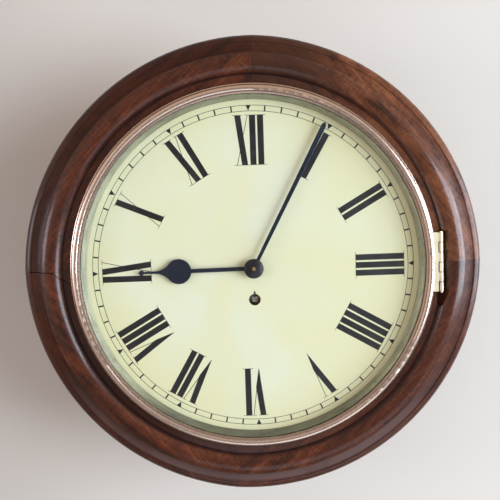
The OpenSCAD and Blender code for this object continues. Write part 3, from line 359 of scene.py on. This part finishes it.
def make_grain_group():
    """Wood whose grain runs along x: broad figure, fine lines, rays across it, short pores and its height."""
    group, s, given, out = new_group(
        "wood grain",
        [(VECTOR, "Vector", None), (COLOUR, "Dark", (0.03, 0.012, 0.006, 1)),
         (COLOUR, "Middle", (0.1, 0.04, 0.018, 1)), (COLOUR, "Light", (0.2, 0.09, 0.04, 1)),
         (NUMBER, "Pores", 0.5), (NUMBER, "Rays", 0.2)],
        [(COLOUR, "Colour"), (NUMBER, "Height")],
    )
    where = given["Vector"]
    figure = s.noise(s.stretch(where, (14, 70, 70)), 1.0, 5, 0.6, 1.1)
    lines = s.noise(s.stretch(where, (45, 620, 620)), 1.0, 4, 0.65, 0.4)
    rays = s.noise(s.stretch(where, (420, 110, 110), (0, 0.5, 0)), 1.0, 3, 0.55, 0.8)
    flecks = s.noise(s.stretch(where, (260, 1300, 1300)), 1.0, 2, 0.5, 0.2)
    fine = s.plus(s.times(lines, s.minus(0.5, given["Rays"])), s.times(rays, given["Rays"]))
    tone = s.plus(s.times(figure, 0.5), fine)
    low = s.mix(s.fade(tone, 0.38, 0.51), given["Dark"], given["Middle"])
    colour = s.mix(s.fade(tone, 0.49, 0.62), low, given["Light"])
    pores = s.times(s.fade(flecks, 0.56, 0.66), given["Pores"])
    s.put(out["Colour"], s.mix(pores, colour, given["Dark"]))
    s.put(out["Height"], s.minus(s.times(lines, 0.35), pores))
    return group


def make_glue_line_group():
    """A mask along a ray from the arbor, at an angle clockwise from twelve: for dark glue lines and, made wide, for
    painted shade beside a joint.
    """
    group, s, given, out = new_group(
        "glue line", [(VECTOR, "Vector", None), (NUMBER, "Angle", 0.0), (NUMBER, "Width", 0.0004)],
        [(NUMBER, "Mask")],
    )
    parts = s.parts(given["Vector"])
    sine = s.math("SINE", given["Angle"])
    cosine = s.math("COSINE", given["Angle"])
    wander = s.times(s.minus(s.noise(given["Vector"], 160), 0.5), 0.0006)
    off = s.minus(s.times(parts["X"], cosine), s.times(parts["Z"], sine))
    along = s.plus(s.times(parts["X"], sine), s.times(parts["Z"], cosine))
    away = s.math("ABSOLUTE", s.plus(off, wander))
    near = s.fade(away, s.times(given["Width"], 0.4), given["Width"], 1.0, 0.0)
    s.put(out["Mask"], s.times(near, s.math("GREATER_THAN", along, 0.0)))
    return group


def make_ring_group():
    """A soft mask in a ring about the arbor, such as dirt and painted shade in a groove, and the distance from the
    arbor.
    """
    group, s, given, out = new_group(
        "ring mask", [(VECTOR, "Vector", None), (NUMBER, "Radius", 0.1), (NUMBER, "Width", 0.003)],
        [(NUMBER, "Mask"), (NUMBER, "Distance")],
    )
    parts = s.parts(given["Vector"])
    flat = s.add("ShaderNodeCombineXYZ", {"X": parts["X"], "Z": parts["Z"]}).outputs[0]
    distance = s.add("ShaderNodeVectorMath", {0: flat}, operation="LENGTH").outputs["Value"]
    away = s.math("ABSOLUTE", s.minus(distance, given["Radius"]))
    s.put(out["Mask"], s.fade(away, 0.0, given["Width"], 1.0, 0.0))
    s.put(out["Distance"], distance)
    return group


def make_spot_group():
    """A soft dark spot with a ragged border, such as a knot or a filled hole."""
    group, s, given, out = new_group(
        "spot", [(VECTOR, "Vector", None), (VECTOR, "Centre", None), (NUMBER, "Size", 0.004)], [(NUMBER, "Mask")]
    )
    size = given["Size"]
    apart = s.add("ShaderNodeVectorMath", {0: given["Vector"], 1: given["Centre"]}, operation="DISTANCE")
    ragged = s.times(s.noise(given["Vector"], 420, 3, 0.6), size)
    away = s.plus(apart.outputs["Value"], ragged)
    s.put(out["Mask"], s.fade(away, s.times(size, 0.7), s.times(size, 1.5), 1.0, 0.0))
    return group


def make_wear_group():
    """Handling marks: a slow and a fast unevenness, and rare fine scratches."""
    group, s, given, out = new_group(
        "handling marks", [(VECTOR, "Vector", None), (NUMBER, "Size", 1.0)],
        [(NUMBER, "Slow"), (NUMBER, "Fast"), (NUMBER, "Scratches")],
    )
    sized = s.add("ShaderNodeVectorMath", {0: given["Vector"], "Scale": given["Size"]}, operation="SCALE")
    where = sized.outputs[0]
    s.put(out["Slow"], s.noise(where, 22, 4, 0.6, 0.4))
    s.put(out["Fast"], s.noise(where, 260, 3, 0.6))
    scratch = s.noise(s.stretch(where, (60, 300, 900), (0.3, 0.9, 0.2)), 1.0, 2, 0.5, 1.2)
    s.put(out["Scratches"], s.fade(scratch, 0.66, 0.72))
    return group


grain = make_grain_group()
glue_line_and_joint_shade = make_glue_line_group()
ring_mask = make_ring_group()
spot = make_spot_group()
wear = make_wear_group()


def new_material(name):
    """A material, the helper that draws in it, its Principled shader and the place on the piece."""
    material = bpy.data.materials.new(name)
    material.use_nodes = True
    sheet = Sheet(material.node_tree)
    shader = material.node_tree.nodes["Principled BSDF"]
    place = sheet.add("ShaderNodeTexCoord").outputs["Object"]
    return material, sheet, shader, place


# Wood of the surround: four pieces, clockwise from the upper right one, and the seam where each starts, in degrees
SEAMS = [1.5, 89.9, 186.1, 271.1]
QUARTERS = ["surround_upper_right", "surround_lower_right", "surround_lower_left", "surround_upper_left"]
QUARTER_TONES = [
    ((0.042, 0.0145, 0.0080, 1), (0.168, 0.0540, 0.0215, 1), (0.275, 0.0990, 0.0420, 1)),
    ((0.028, 0.0088, 0.0050, 1), (0.090, 0.0215, 0.0085, 1), (0.160, 0.0450, 0.0170, 1)),
    ((0.028, 0.0086, 0.0048, 1), (0.094, 0.0220, 0.0080, 1), (0.170, 0.0460, 0.0160, 1)),
    ((0.027, 0.0085, 0.0048, 1), (0.094, 0.0215, 0.0078, 1), (0.165, 0.0450, 0.0155, 1)),
]
# Painted shade for each quarter, darkest away from the window and partly the polish's own darker tone: on the band,
# on the ledge, and beside the first joint
BAND_PAINTED_SHADE = [0.05, 0.2, 0.5, 0.72]
LEDGE_PAINTED_SHADE = [0.3, 0.4, 0.7, 0.15]
FIRST_JOINT_PAINTED_SHADE = [0.85, 0.0, 0.0, 0.1]
FIRST_JOINT_WIDTH = 0.1
GRAIN_START = (0.31, 0.17, 0.05)

# Its mouldings: the ledge inside the inner corner, the band outside the step, and the hollow inside the band
INNER_CORNER = 0.1644
OUTER_STEP = 0.1815
HOLLOW_END = 0.189
EDGE = 0.1975
# Dirt and painted shade in the mouldings' corners, at the inner corner, the outer step and the edge: radius, width
# and depth
CORNER_DIRT_AND_SHADE = [(INNER_CORNER, 0.0022, 0.7), (OUTER_STEP, 0.0012, 0.3), (EDGE, 0.003, 0.3)]
SEAM_DEPTH = [0.4, 0.5, 0.25, 0.9]
SEAM_WIDTH = 0.00045

# Knots beside the seam at twelve, and chips below the crack at nine: centre and size of each
TOP_KNOTS = [((0.0, -0.124, 0.1738), 0.0034), ((0.0085, -0.124, 0.1765), 0.0030), ((0.016, -0.124, 0.1715), 0.0026)]
CRACK_KNOTS = [((-0.1668, -0.122, -0.0065), 0.0034), ((-0.1625, -0.12, -0.012), 0.0030)]
KNOTS = [TOP_KNOTS, [], CRACK_KNOTS, TOP_KNOTS]
KNOT_DEPTH = 0.6

BLACK_DIRT_AND_SHADE = (0.010, 0.005, 0.006, 1)
# Greyer, paler colours taken on by the lower part of the band, most of all in its hollow
LOW_HOLLOW_GREY = (0.145, 0.095, 0.085, 1)
LOW_BAND_GREY = (0.09, 0.055, 0.05, 1)


def quarter_painted_shade(s, index, place, marks, band, ledge):
    """How dark each quarter is painted: on the band, the ledge and beside its first joint, partly painted shade,
    darkest away from the window, and partly the polish's own darker tone; in slow patches, the polish's own tone.
    """
    near_joint = s.group(glue_line_and_joint_shade, Vector=place, Angle=math.radians(SEAMS[index]), Width=FIRST_JOINT_WIDTH)["Mask"]
    shade = s.plus(s.times(band, BAND_PAINTED_SHADE[index]), s.times(ledge, LEDGE_PAINTED_SHADE[index]))
    shade = s.larger(shade, s.times(near_joint, FIRST_JOINT_PAINTED_SHADE[index]))
    return s.larger(shade, s.fade(marks["Slow"], 0.4, 0.8, 0.0, 0.4))


def quarter_low_grey(s, place, marks, band, hollow, colour):
    """Greyer and paler on the lower part of the band, most of it in the hollow."""
    low = s.fade(s.parts(place)["Z"], -0.17, -0.06, 1.0, 0.0)
    in_hollow = s.times(s.times(hollow, low), s.fade(marks["Slow"], 0.3, 0.6, 0.5, 0.8))
    colour = s.mix(in_hollow, colour, LOW_HOLLOW_GREY)
    return s.mix(s.times(s.times(band, low), 0.12), colour, LOW_BAND_GREY)


def quarter_dirt_and_shade(s, index, place):
    """Black along the mouldings' corners, as dirt and painted shade, and black dirt in the glue line at each end
    and in knots.
    """
    masks = []
    for radius, width, depth in CORNER_DIRT_AND_SHADE:
        masks.append(s.times(s.group(ring_mask, Vector=place, Radius=radius, Width=width)["Mask"], depth))
    for joint in (index, (index + 1) % 4):
        line = s.group(glue_line_and_joint_shade, Vector=place, Angle=math.radians(SEAMS[joint]), Width=SEAM_WIDTH)["Mask"]
        masks.append(s.times(line, SEAM_DEPTH[joint]))
    for centre, size in KNOTS[index]:
        masks.append(s.times(s.group(spot, Vector=place, Centre=centre, Size=size)["Mask"], KNOT_DEPTH))
    dirt = masks[0]
    for mask in masks[1:]:
        dirt = s.larger(dirt, mask)
    return dirt


def surround_wood(index):
    """Polished mahogany of one piece of the surround, its grain straight along the piece."""
    name = QUARTERS[index].removeprefix("surround_").replace("_", " ")
    material, s, shader, place = new_material(f"mahogany {name}")
    length = (SEAMS[(index + 1) % 4] - SEAMS[index]) % 360
    middle = math.radians(SEAMS[index] + length / 2)
    along = s.stretch(place, (1, 1, 1), (0, -middle, 0), [start * index for start in GRAIN_START])
    dark, plain, light = QUARTER_TONES[index]
    wood = s.group(grain, Vector=along, Dark=dark, Middle=plain, Light=light, Pores=0.5)
    marks = s.group(wear, Vector=place, Size=1.0)
    distance = s.group(ring_mask, Vector=place)["Distance"]
    band = s.fade(distance, OUTER_STEP - 0.0005, OUTER_STEP + 0.0015)
    ledge = s.fade(distance, INNER_CORNER - 0.0005, INNER_CORNER + 0.001, 1.0, 0.0)
    hollow = s.times(band, s.fade(distance, HOLLOW_END - 0.001, HOLLOW_END + 0.001, 1.0, 0.0))
    # Painted shade, partly the polish's own darker tone, takes the wood towards its dark tone
    colour = s.mix(quarter_painted_shade(s, index, place, marks, band, ledge), wood["Colour"], dark)
    colour = quarter_low_grey(s, place, marks, band, hollow, colour)
    # Black in the mouldings' corners is dirt and painted shade; in the glue lines and knots it is dirt
    s.fill(shader, {
        "Base Color": s.mix(quarter_dirt_and_shade(s, index, place), colour, BLACK_DIRT_AND_SHADE),
        "Roughness": s.fade(marks["Fast"], 0.3, 0.7, 0.38, 0.52),
        "Coat Weight": s.minus(s.minus(0.6, s.times(band, 0.15)), s.times(hollow, 0.3)),
        "Specular IOR Level": 0.15,
        "Coat Roughness": 0.15,
        "Coat IOR": 1.5,
    })
    height = s.plus(s.times(wood["Height"], 0.4), s.times(marks["Slow"], 2.0))
    s.bump(shader, height, 0.00024, 0.45, ("Normal", "Coat Normal"))
    return material


# Other woods: the way the grain runs, from x to where it is wanted, and how far it is drawn out
UPRIGHT = (0, math.pi / 2, 0)
LEVEL = (0, 0, 0)
EVEN = (1, 1, 1)
DRAWN_OUT = (0.8, 1, 0.25)


def plain_wood(name, tones, polish, turn, drawn=EVEN, pores=0.5, rays=0.12):
    """Straight boards, from bare at polish 0 to French polished at 1."""
    material, s, shader, place = new_material(name)
    dark, middle, light = tones
    along = s.stretch(place, drawn, turn)
    wood = s.group(grain, Vector=along, Dark=dark, Middle=middle, Light=light, Pores=pores, Rays=rays)
    marks = s.group(wear, Vector=place, Size=0.8)
    s.fill(shader, {
        "Base Color": s.mix(s.fade(marks["Slow"], 0.4, 0.8, 0.0, 0.4), wood["Colour"], dark),
        "Roughness": s.fade(marks["Fast"], 0.3, 0.7, 0.5 - 0.12 * polish, 0.72 - 0.2 * polish),
        "Coat Weight": 0.5 * polish,
        "Coat Roughness": 0.25,
    })
    s.bump(shader, wood["Height"], 0.0003, 0.7)
    return material


def turned_brass(name, colour, dull, rough_low, rough_high, turned, stain):
    """Brass with rings from the lathe and uneven tarnish."""
    material, s, shader, place = new_material(name)
    marks = s.group(wear, Vector=place, Size=1.3)
    distance = s.group(ring_mask, Vector=place)["Distance"]
    rings = s.add("ShaderNodeTexNoise", {"W": distance, "Scale": 5200.0, "Detail": 2.0}, noise_dimensions="1D")
    s.fill(shader, {
        "Base Color": s.mix(s.fade(marks["Slow"], 0.42, 0.72, 0.0, stain), colour, dull),
        "Roughness": s.fade(marks["Fast"], 0.25, 0.75, rough_low, rough_high),
        "Metallic": 1.0,
    })
    height = s.plus(s.times(rings.outputs["Fac"], turned), s.times(marks["Scratches"], -0.6))
    s.bump(shader, height, 0.00003, 0.35)
    return material


BEZEL_GROOVE = 0.1541
BEZEL_SLOPE = (0.1487, 0.1503)


def polished_bezel():
    """The bezel's brass, brown in the groove beside its crown and on its inner slope, partly tarnish and partly
    painted shade.
    """
    material, s, shader, place = new_material("polished bezel")
    marks = s.group(wear, Vector=place, Size=1.0)
    # Brown in the groove and on the inner slope: partly tarnish, partly painted shade
    groove = s.group(ring_mask, Vector=place, Radius=BEZEL_GROOVE, Width=0.0012)
    slope = s.fade(groove["Distance"], *BEZEL_SLOPE, 0.62, 0.0)
    tarnish = s.larger(s.times(groove["Mask"], 0.75), slope)
    tarnish = s.larger(tarnish, s.fade(marks["Slow"], 0.5, 0.8, 0.0, 0.3))
    s.fill(shader, {
        "Base Color": s.mix(tarnish, (0.95, 0.76, 0.64, 1), (0.34, 0.215, 0.15, 1)),
        "Roughness": s.fade(marks["Fast"], 0.3, 0.7, 0.23, 0.29),
        "Metallic": 1.0,
    })
    s.bump(shader, marks["Slow"], 0.0003, 0.15)
    return material


HINGE_LENGTH = 0.051
KNUCKLES = 6
HINGE_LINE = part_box("bezel_hinge_pin")[0][0] / 2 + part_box("bezel_hinge_pin")[1][0] / 2
LEAF_LINE = HINGE_LINE - 0.0021


def hinge_finish():
    """The hinge's brass, dull and pale, with black painted shade and dirt between its knuckles and beside every
    second one.
    """
    material, s, shader, place = new_material("hinge knuckles")
    marks = s.group(wear, Vector=place, Size=1.3)
    parts = s.parts(place)
    along = s.math("DIVIDE", s.minus(HINGE_LENGTH / 2, parts["Z"]), HINGE_LENGTH / KNUCKLES)
    gap = s.fade(s.math("PINGPONG", along, 0.5), 0.035, 0.075, 1.0, 0.0)
    gap = s.times(gap, s.math("GREATER_THAN", parts["X"], LEAF_LINE))
    side = s.fade(s.math("ABSOLUTE", s.minus(parts["X"], LEAF_LINE)), 0.0002, 0.0005, 1.0, 0.0)
    side = s.times(side, s.math("MODULO", s.math("FLOOR", along), 2.0))
    colour = s.mix(s.fade(marks["Slow"], 0.4, 0.7, 0.0, 0.4), (0.86, 0.78, 0.56, 1), (0.60, 0.50, 0.32, 1))
    # Black painted shade and dirt in the gaps between the knuckles and beside every second one
    s.fill(shader, {
        "Base Color": s.mix(s.larger(gap, side), colour, (0.02, 0.015, 0.01, 1)),
        "Roughness": s.fade(marks["Fast"], 0.25, 0.75, 0.4, 0.5),
        "Metallic": 0.9,
    })
    s.bump(shader, marks["Fast"], 0.00003, 0.4)
    return material


def steel(name, colour, dark, rough_low, rough_high, metallic):
    """Filed and polished steel, bright or blued."""
    material, s, shader, place = new_material(name)
    marks = s.group(wear, Vector=place, Size=2.0)
    s.fill(shader, {
        "Base Color": s.mix(s.fade(marks["Slow"], 0.3, 0.75, 0.0, 0.6), colour, dark),
        "Roughness": s.fade(marks["Fast"], 0.25, 0.75, rough_low, rough_high),
        "Metallic": metallic,
    })
    s.bump(shader, marks["Fast"], 0.00002, 0.4)
    return material


def dial_paint():
    """Old cream paint: greener where it was cleaned, darker and yellower to the rim, partly as painted shade from
    the bezel, yellower to the right, stained and specked.
    """
    material, s, shader, place = new_material("dial paint")
    slow = s.noise(place, 13, 3, 0.55, 0.6)
    cloudy = s.noise(place, 45, 4, 0.6, 0.3)
    specks = s.noise(place, 900, 2, 0.5)
    distance = s.group(ring_mask, Vector=place)["Distance"]
    colour = s.mix(s.fade(slow, 0.35, 0.68), (0.885, 0.865, 0.585, 1), (0.885, 0.91, 0.715, 1))
    colour = s.mix(s.fade(cloudy, 0.5, 0.8, 0.0, 0.2), colour, (0.79, 0.76, 0.50, 1))
    # Darker and yellower to the rim: painted shade from the bezel, with paint that has yellowed there
    colour = s.mix(s.fade(distance, 0.09, 0.15, 0.0, 0.6), colour, (0.84, 0.79, 0.46, 1))
    colour = s.mix(s.fade(s.parts(place)["X"], -0.03, 0.09, 0.0, 0.35), colour, (0.88, 0.85, 0.52, 1))
    colour = s.mix(s.fade(specks, 0.69, 0.76, 0.0, 0.35), colour, (0.32, 0.29, 0.16, 1))
    s.fill(shader, {
        "Base Color": colour,
        "Roughness": s.fade(cloudy, 0.3, 0.7, 0.38, 0.5),
        "Specular IOR Level": 0.3,
    })
    s.bump(shader, s.plus(cloudy, s.times(specks, 0.3)), 0.00012, 0.5)
    return material


def numeral_paint():
    """Black paint, a little grey where it has thinned."""
    material, s, shader, place = new_material("numeral paint")
    thin = s.noise(place, 120, 4, 0.65, 0.4)
    worn = s.noise(place, 700, 3, 0.6)
    colour = s.mix(s.fade(thin, 0.45, 0.75, 0.0, 0.5), (0.0095, 0.0078, 0.0092, 1), (0.023, 0.020, 0.019, 1))
    s.fill(shader, {
        "Base Color": s.mix(s.fade(worn, 0.68, 0.78, 0.0, 0.35), colour, (0.16, 0.15, 0.11, 1)),
        "Roughness": s.fade(thin, 0.3, 0.7, 0.34, 0.5),
    })
    s.bump(shader, worn, 0.00004, 0.4)
    return material


def sight_silvering():
    """The sloping ring: silvering gone grey-green, stained in streaks, darker at the bottom, and darker at the top
    as painted shade.
    """
    material, s, shader, place = new_material("dulled silvering")
    parts = s.parts(place)
    angle = s.math("ARCTAN2", parts["X"], parts["Z"])
    around = s.add("ShaderNodeCombineXYZ", {"X": s.times(angle, 5.0), "Y": s.times(parts["Y"], 260.0)}).outputs[0]
    streaks = s.noise(around, 1.0, 6, 0.7, 1.0)
    spots = s.noise(place, 210, 4, 0.65)
    colour = s.mix(s.fade(streaks, 0.36, 0.64), (0.40, 0.39, 0.33, 1), (0.60, 0.60, 0.52, 1))
    colour = s.mix(s.fade(spots, 0.56, 0.74, 0.0, 0.7), colour, (0.2, 0.19, 0.15, 1))
    colour = s.mix(s.fade(parts["Z"], -0.142, -0.08, 0.75, 0.0), colour, (0.12, 0.12, 0.10, 1))
    # Painted shade: darker at the top
    colour = s.mix(s.fade(parts["Z"], 0.09, 0.14, 0.0, 0.4), colour, (0.17, 0.16, 0.12, 1))
    s.fill(shader, {
        "Base Color": colour,
        "Roughness": s.fade(spots, 0.3, 0.7, 0.3, 0.45),
        "Metallic": 0.85,
    })
    s.bump(shader, spots, 0.00006, 0.5)
    return material


def pane():
    """Old clear glass. It lets light through to the dial without bending its shadow, and its index of refraction is
    low, so that the window's reflection doesn't hide the dial from the left."""
    material, s, shader, place = new_material("old glass")
    s.fill(shader, {
        "Base Color": (0.985, 0.995, 0.985, 1),
        "Roughness": 0.0,
        "IOR": 1.16,
        "Transmission Weight": 1.0,
    })
    s.bump(shader, s.noise(place, 9, 2, 0.4), 0.0004, 0.25)
    rays = s.add("ShaderNodeLightPath").outputs
    clear = s.add("ShaderNodeBsdfTransparent", {"Color": (0.96, 0.975, 0.96, 1)})
    open_to = s.larger(rays["Is Shadow Ray"], rays["Is Diffuse Ray"])
    blend = s.add("ShaderNodeMixShader", {0: open_to, 1: shader.outputs[0], 2: clear.outputs[0]})
    s.put(material.node_tree.nodes["Material Output"].inputs["Surface"], blend.outputs[0])
    return material


def dry_gut():
    """Twisted gut, brown and dull."""
    material, s, shader, place = new_material("dry gut")
    twist = s.noise(place, 900, 3)
    s.fill(shader, {
        "Base Color": s.mix(twist, (0.34, 0.2, 0.08, 1), (0.62, 0.45, 0.22, 1)),
        "Roughness": 0.55,
    })
    s.bump(shader, twist, 0.00008, 0.6)
    return material


MAHOGANY = ((0.022, 0.008, 0.005, 1), (0.075, 0.026, 0.011, 1), (0.15, 0.058, 0.023, 1))
PINE = ((0.21, 0.12, 0.052, 1), (0.36, 0.22, 0.105, 1), (0.50, 0.34, 0.18, 1))
upright_wood = plain_wood("mahogany of the box", MAHOGANY, 1.0, UPRIGHT)
level_wood = plain_wood("mahogany laid across", MAHOGANY, 1.0, LEVEL)
pine = plain_wood("old pine", PINE, 0.0, UPRIGHT, DRAWN_OUT, 0.1, 0.0)
hinge_brass = turned_brass("hinge brass", (0.93, 0.85, 0.64, 1), (0.66, 0.54, 0.34, 1), 0.25, 0.4, 0.2, 0.3)
plate_brass = turned_brass("lacquered brass", (0.74, 0.54, 0.24, 1), (0.48, 0.33, 0.14, 1), 0.24, 0.42, 0.4, 0.5)
wheel_brass = turned_brass("wheel brass", (0.8, 0.6, 0.28, 1), (0.55, 0.38, 0.16, 1), 0.18, 0.34, 0.8, 0.3)
bright_steel = steel("bright steel", (0.52, 0.53, 0.55, 1), (0.3, 0.3, 0.31, 1), 0.18, 0.36, 1.0)
blued_steel = steel("blued steel", (0.034, 0.044, 0.072, 1), (0.016, 0.018, 0.027, 1), 0.26, 0.42, 0.6)
boss_steel = steel("dark collet", (0.035, 0.030, 0.036, 1), (0.018, 0.016, 0.019, 1), 0.3, 0.45, 0.6)
black_paint = numeral_paint()

FINISHES = [
    (polished_bezel(), ["bezel_ring"]),
    (sight_silvering(), ["sight_ring"]),
    (pane(), ["glass"]),
    (dial_paint(), ["dial_plate"]),
    (hinge_finish(), ["bezel_hinge_leaf", "surround_hinge_leaf"]),
    (hinge_brass, ["bezel_hinge_pin", "wood_screws"]),
    (blued_steel, ["hour_hand", "minute_hand"]),
    (boss_steel, ["hand_collet", "hand_pin"]),
    (upright_wood, ["case_left_side", "case_right_side", "side_door"]),
    (level_wood, ["case_top", "case_bottom", "bottom_door", "case_pegs"]),
    (pine, ["back_board", "battens"]),
    (plate_brass, ["case_hinge_leaves", "side_door_leaves", "bottom_door_leaves", "side_door_button",
                   "bottom_door_button", "hanging_plate", "front_plate", "back_plate", "back_cock"]),
    (wheel_brass, ["pillars", "dial_feet", "barrel", "barrel_cap", "fusee_cone", "great_wheel", "centre_wheel",
                   "third_wheel", "escape_wheel", "pendulum_bob", "rating_nut", "cannon_wheel", "minute_wheel",
                   "hour_wheel", "motion_bridge"]),
    (bright_steel, ["taper_pins", "barrel_arbor", "mainspring", "setup_click", "fusee_arbor", "pallets", "crutch",
                    "suspension_spring", "pendulum_rod"]),
    (dry_gut(), ["gut_run", "gut_on_fusee"]),
]
finish_of = {name: finish for finish, names in FINISHES for name in names}
finish_of.update({name: surround_wood(index) for index, name in enumerate(QUARTERS)})
for name, piece in nodes.items():
    for material_slot in piece.material_slots:
        material_slot.link = "OBJECT"
        material_slot.material = finish_of[name]
for piece in numerals + [track, marks]:
    piece.data.materials.clear()
    piece.data.materials.append(black_paint)


# The room: a pale wall, seen only from the front, a pale floor, and soft daylight from a window on the right
WALL_GAP = 0.0005
WALL_SIZE = 6
WALL_MIDDLE = 0.9
FLOOR_SIZE = 8
FLOOR_HEIGHT = -1.3


def wall_paint():
    """Matt paint, with painted light that makes it paler and bluer low down, and painted shade a little dimmer to
    the left, away from the window. It is clear from behind and to shadow rays.
    """
    material, s, shader, place = new_material("wall paint")
    cloudy = s.noise(place, 5, 3)
    parts = s.parts(place)
    upper = s.mix(cloudy, (0.625, 0.58, 0.435, 1), (0.65, 0.60, 0.455, 1))
    # Painted light: paler and bluer low down
    colour = s.mix(s.fade(parts["Z"], -0.3, 0.2), (0.92, 0.90, 0.97, 1), upper)
    # Painted shade: a little dimmer to the left, away from the window
    painted_left_shade = s.times(s.fade(parts["X"], -0.32, -0.12, 0.15, 0.0), s.fade(parts["Z"], -0.2, -0.05))
    s.fill(shader, {"Base Color": s.mix(painted_left_shade, colour, (0.0, 0.0, 0.0, 1)), "Roughness": 0.85})
    s.bump(shader, s.noise(place, 420, 3), 0.0003, 0.15)
    seen_behind = s.add("ShaderNodeNewGeometry").outputs["Backfacing"]
    shadow = s.add("ShaderNodeLightPath").outputs["Is Shadow Ray"]
    clear = s.add("ShaderNodeBsdfTransparent").outputs[0]
    blend = s.add("ShaderNodeMixShader", {0: s.larger(seen_behind, shadow), 1: shader.outputs[0], 2: clear})
    s.put(material.node_tree.nodes["Material Output"].inputs["Surface"], blend.outputs[0])
    return material


def floor_paint():
    """A plain pale floor."""
    material, s, shader, place = new_material("pale floor")
    s.fill(shader, {
        "Base Color": s.mix(s.noise(place, 3, 3), (0.44, 0.43, 0.42, 1), (0.48, 0.47, 0.46, 1)),
        "Roughness": 0.7,
    })
    return material


def backdrop(name, size, place, turn, material):
    """A plane that isn't part of the clock."""
    deselect()
    bpy.ops.mesh.primitive_plane_add(size=size, location=place, rotation=turn)
    plane = bpy.context.active_object
    plane.name = name
    plane.data.materials.append(material)
    return plane


wall = backdrop("wall", WALL_SIZE, (0, WALL_GAP, WALL_MIDDLE), (math.pi / 2, 0, 0), wall_paint())
floor = backdrop("floor", FLOOR_SIZE, (0, 0, FLOOR_HEIGHT), (0, 0, 0), floor_paint())
floor.visible_glossy = False
floor.visible_diffuse = False


def soft_light(name, place, target, width, height, power, colour):
    """A soft rectangle of light at a place, facing the target."""
    data = bpy.data.lights.new(name, "AREA")
    data.shape = "RECTANGLE"
    data.size = width
    data.size_y = height
    data.energy = power
    data.color = colour
    light = bpy.data.objects.new(name, data)
    bpy.context.scene.collection.objects.link(light)
    aim = (Vector(target) - Vector(place)).to_track_quat("-Z", "Y")
    light.matrix_world = Matrix.Translation(place) @ aim.to_matrix().to_4x4()


CLOCK = (0, -0.1, 0)
BOX = (0, 0.05, 0)
soft_light("window", (1.98, -1.06, 0.02), CLOCK, 2.1, 1.3, 84, (0.76, 0.86, 1.0))
soft_light("pale wall on the left", (-1.25, -0.72, 0.12), CLOCK, 0.6, 0.35, 3.8, (0.86, 0.84, 1.0))
soft_light("light off the floor", (0.4, -1.3, -1.2), CLOCK, 1.6, 1.0, 5.5, (0.84, 0.9, 1.0))
soft_light("behind left", (-1.0, 1.5, 0.9), BOX, 1.4, 1.2, 20, (1.0, 0.98, 0.95))
soft_light("behind right", (1.2, 1.3, 0.2), BOX, 1.0, 1.2, 9, (0.95, 0.98, 1.0))


def room_glow():
    """What the rest of the room sends back: most from the left, least from below and in front."""
    world = bpy.data.worlds.new("room")
    world.use_nodes = True
    bpy.context.scene.world = world
    s = Sheet(world.node_tree)
    way = s.parts(s.add("ShaderNodeTexCoord").outputs["Generated"])
    leftward = s.times(way["X"], -1.0)
    downward = s.times(way["Z"], -1.0)
    colour = s.mix(s.fade(leftward, -0.3, 0.2), (0.13, 0.12, 0.12, 1), (0.28, 0.235, 0.21, 1))
    colour = s.mix(s.fade(leftward, 0.1, 0.5), colour, (0.78, 0.63, 0.55, 1))
    colour = s.mix(s.fade(way["X"], 0.2, 0.65), colour, (0.56, 0.50, 0.47, 1))
    colour = s.mix(s.fade(way["Z"], 0.05, 0.6), colour, (0.50, 0.40, 0.33, 1))
    colour = s.mix(s.fade(downward, 0.1, 0.5, 0.0, 0.85), colour, (0.16, 0.14, 0.13, 1))
    colour = s.mix(s.fade(way["Y"], 0.1, 0.5), colour, (0.45, 0.44, 0.43, 1))
    s.put(world.node_tree.nodes["Background"].inputs["Color"], colour)


room_glow()
bpy.context.scene.view_settings.view_transform = "Standard"
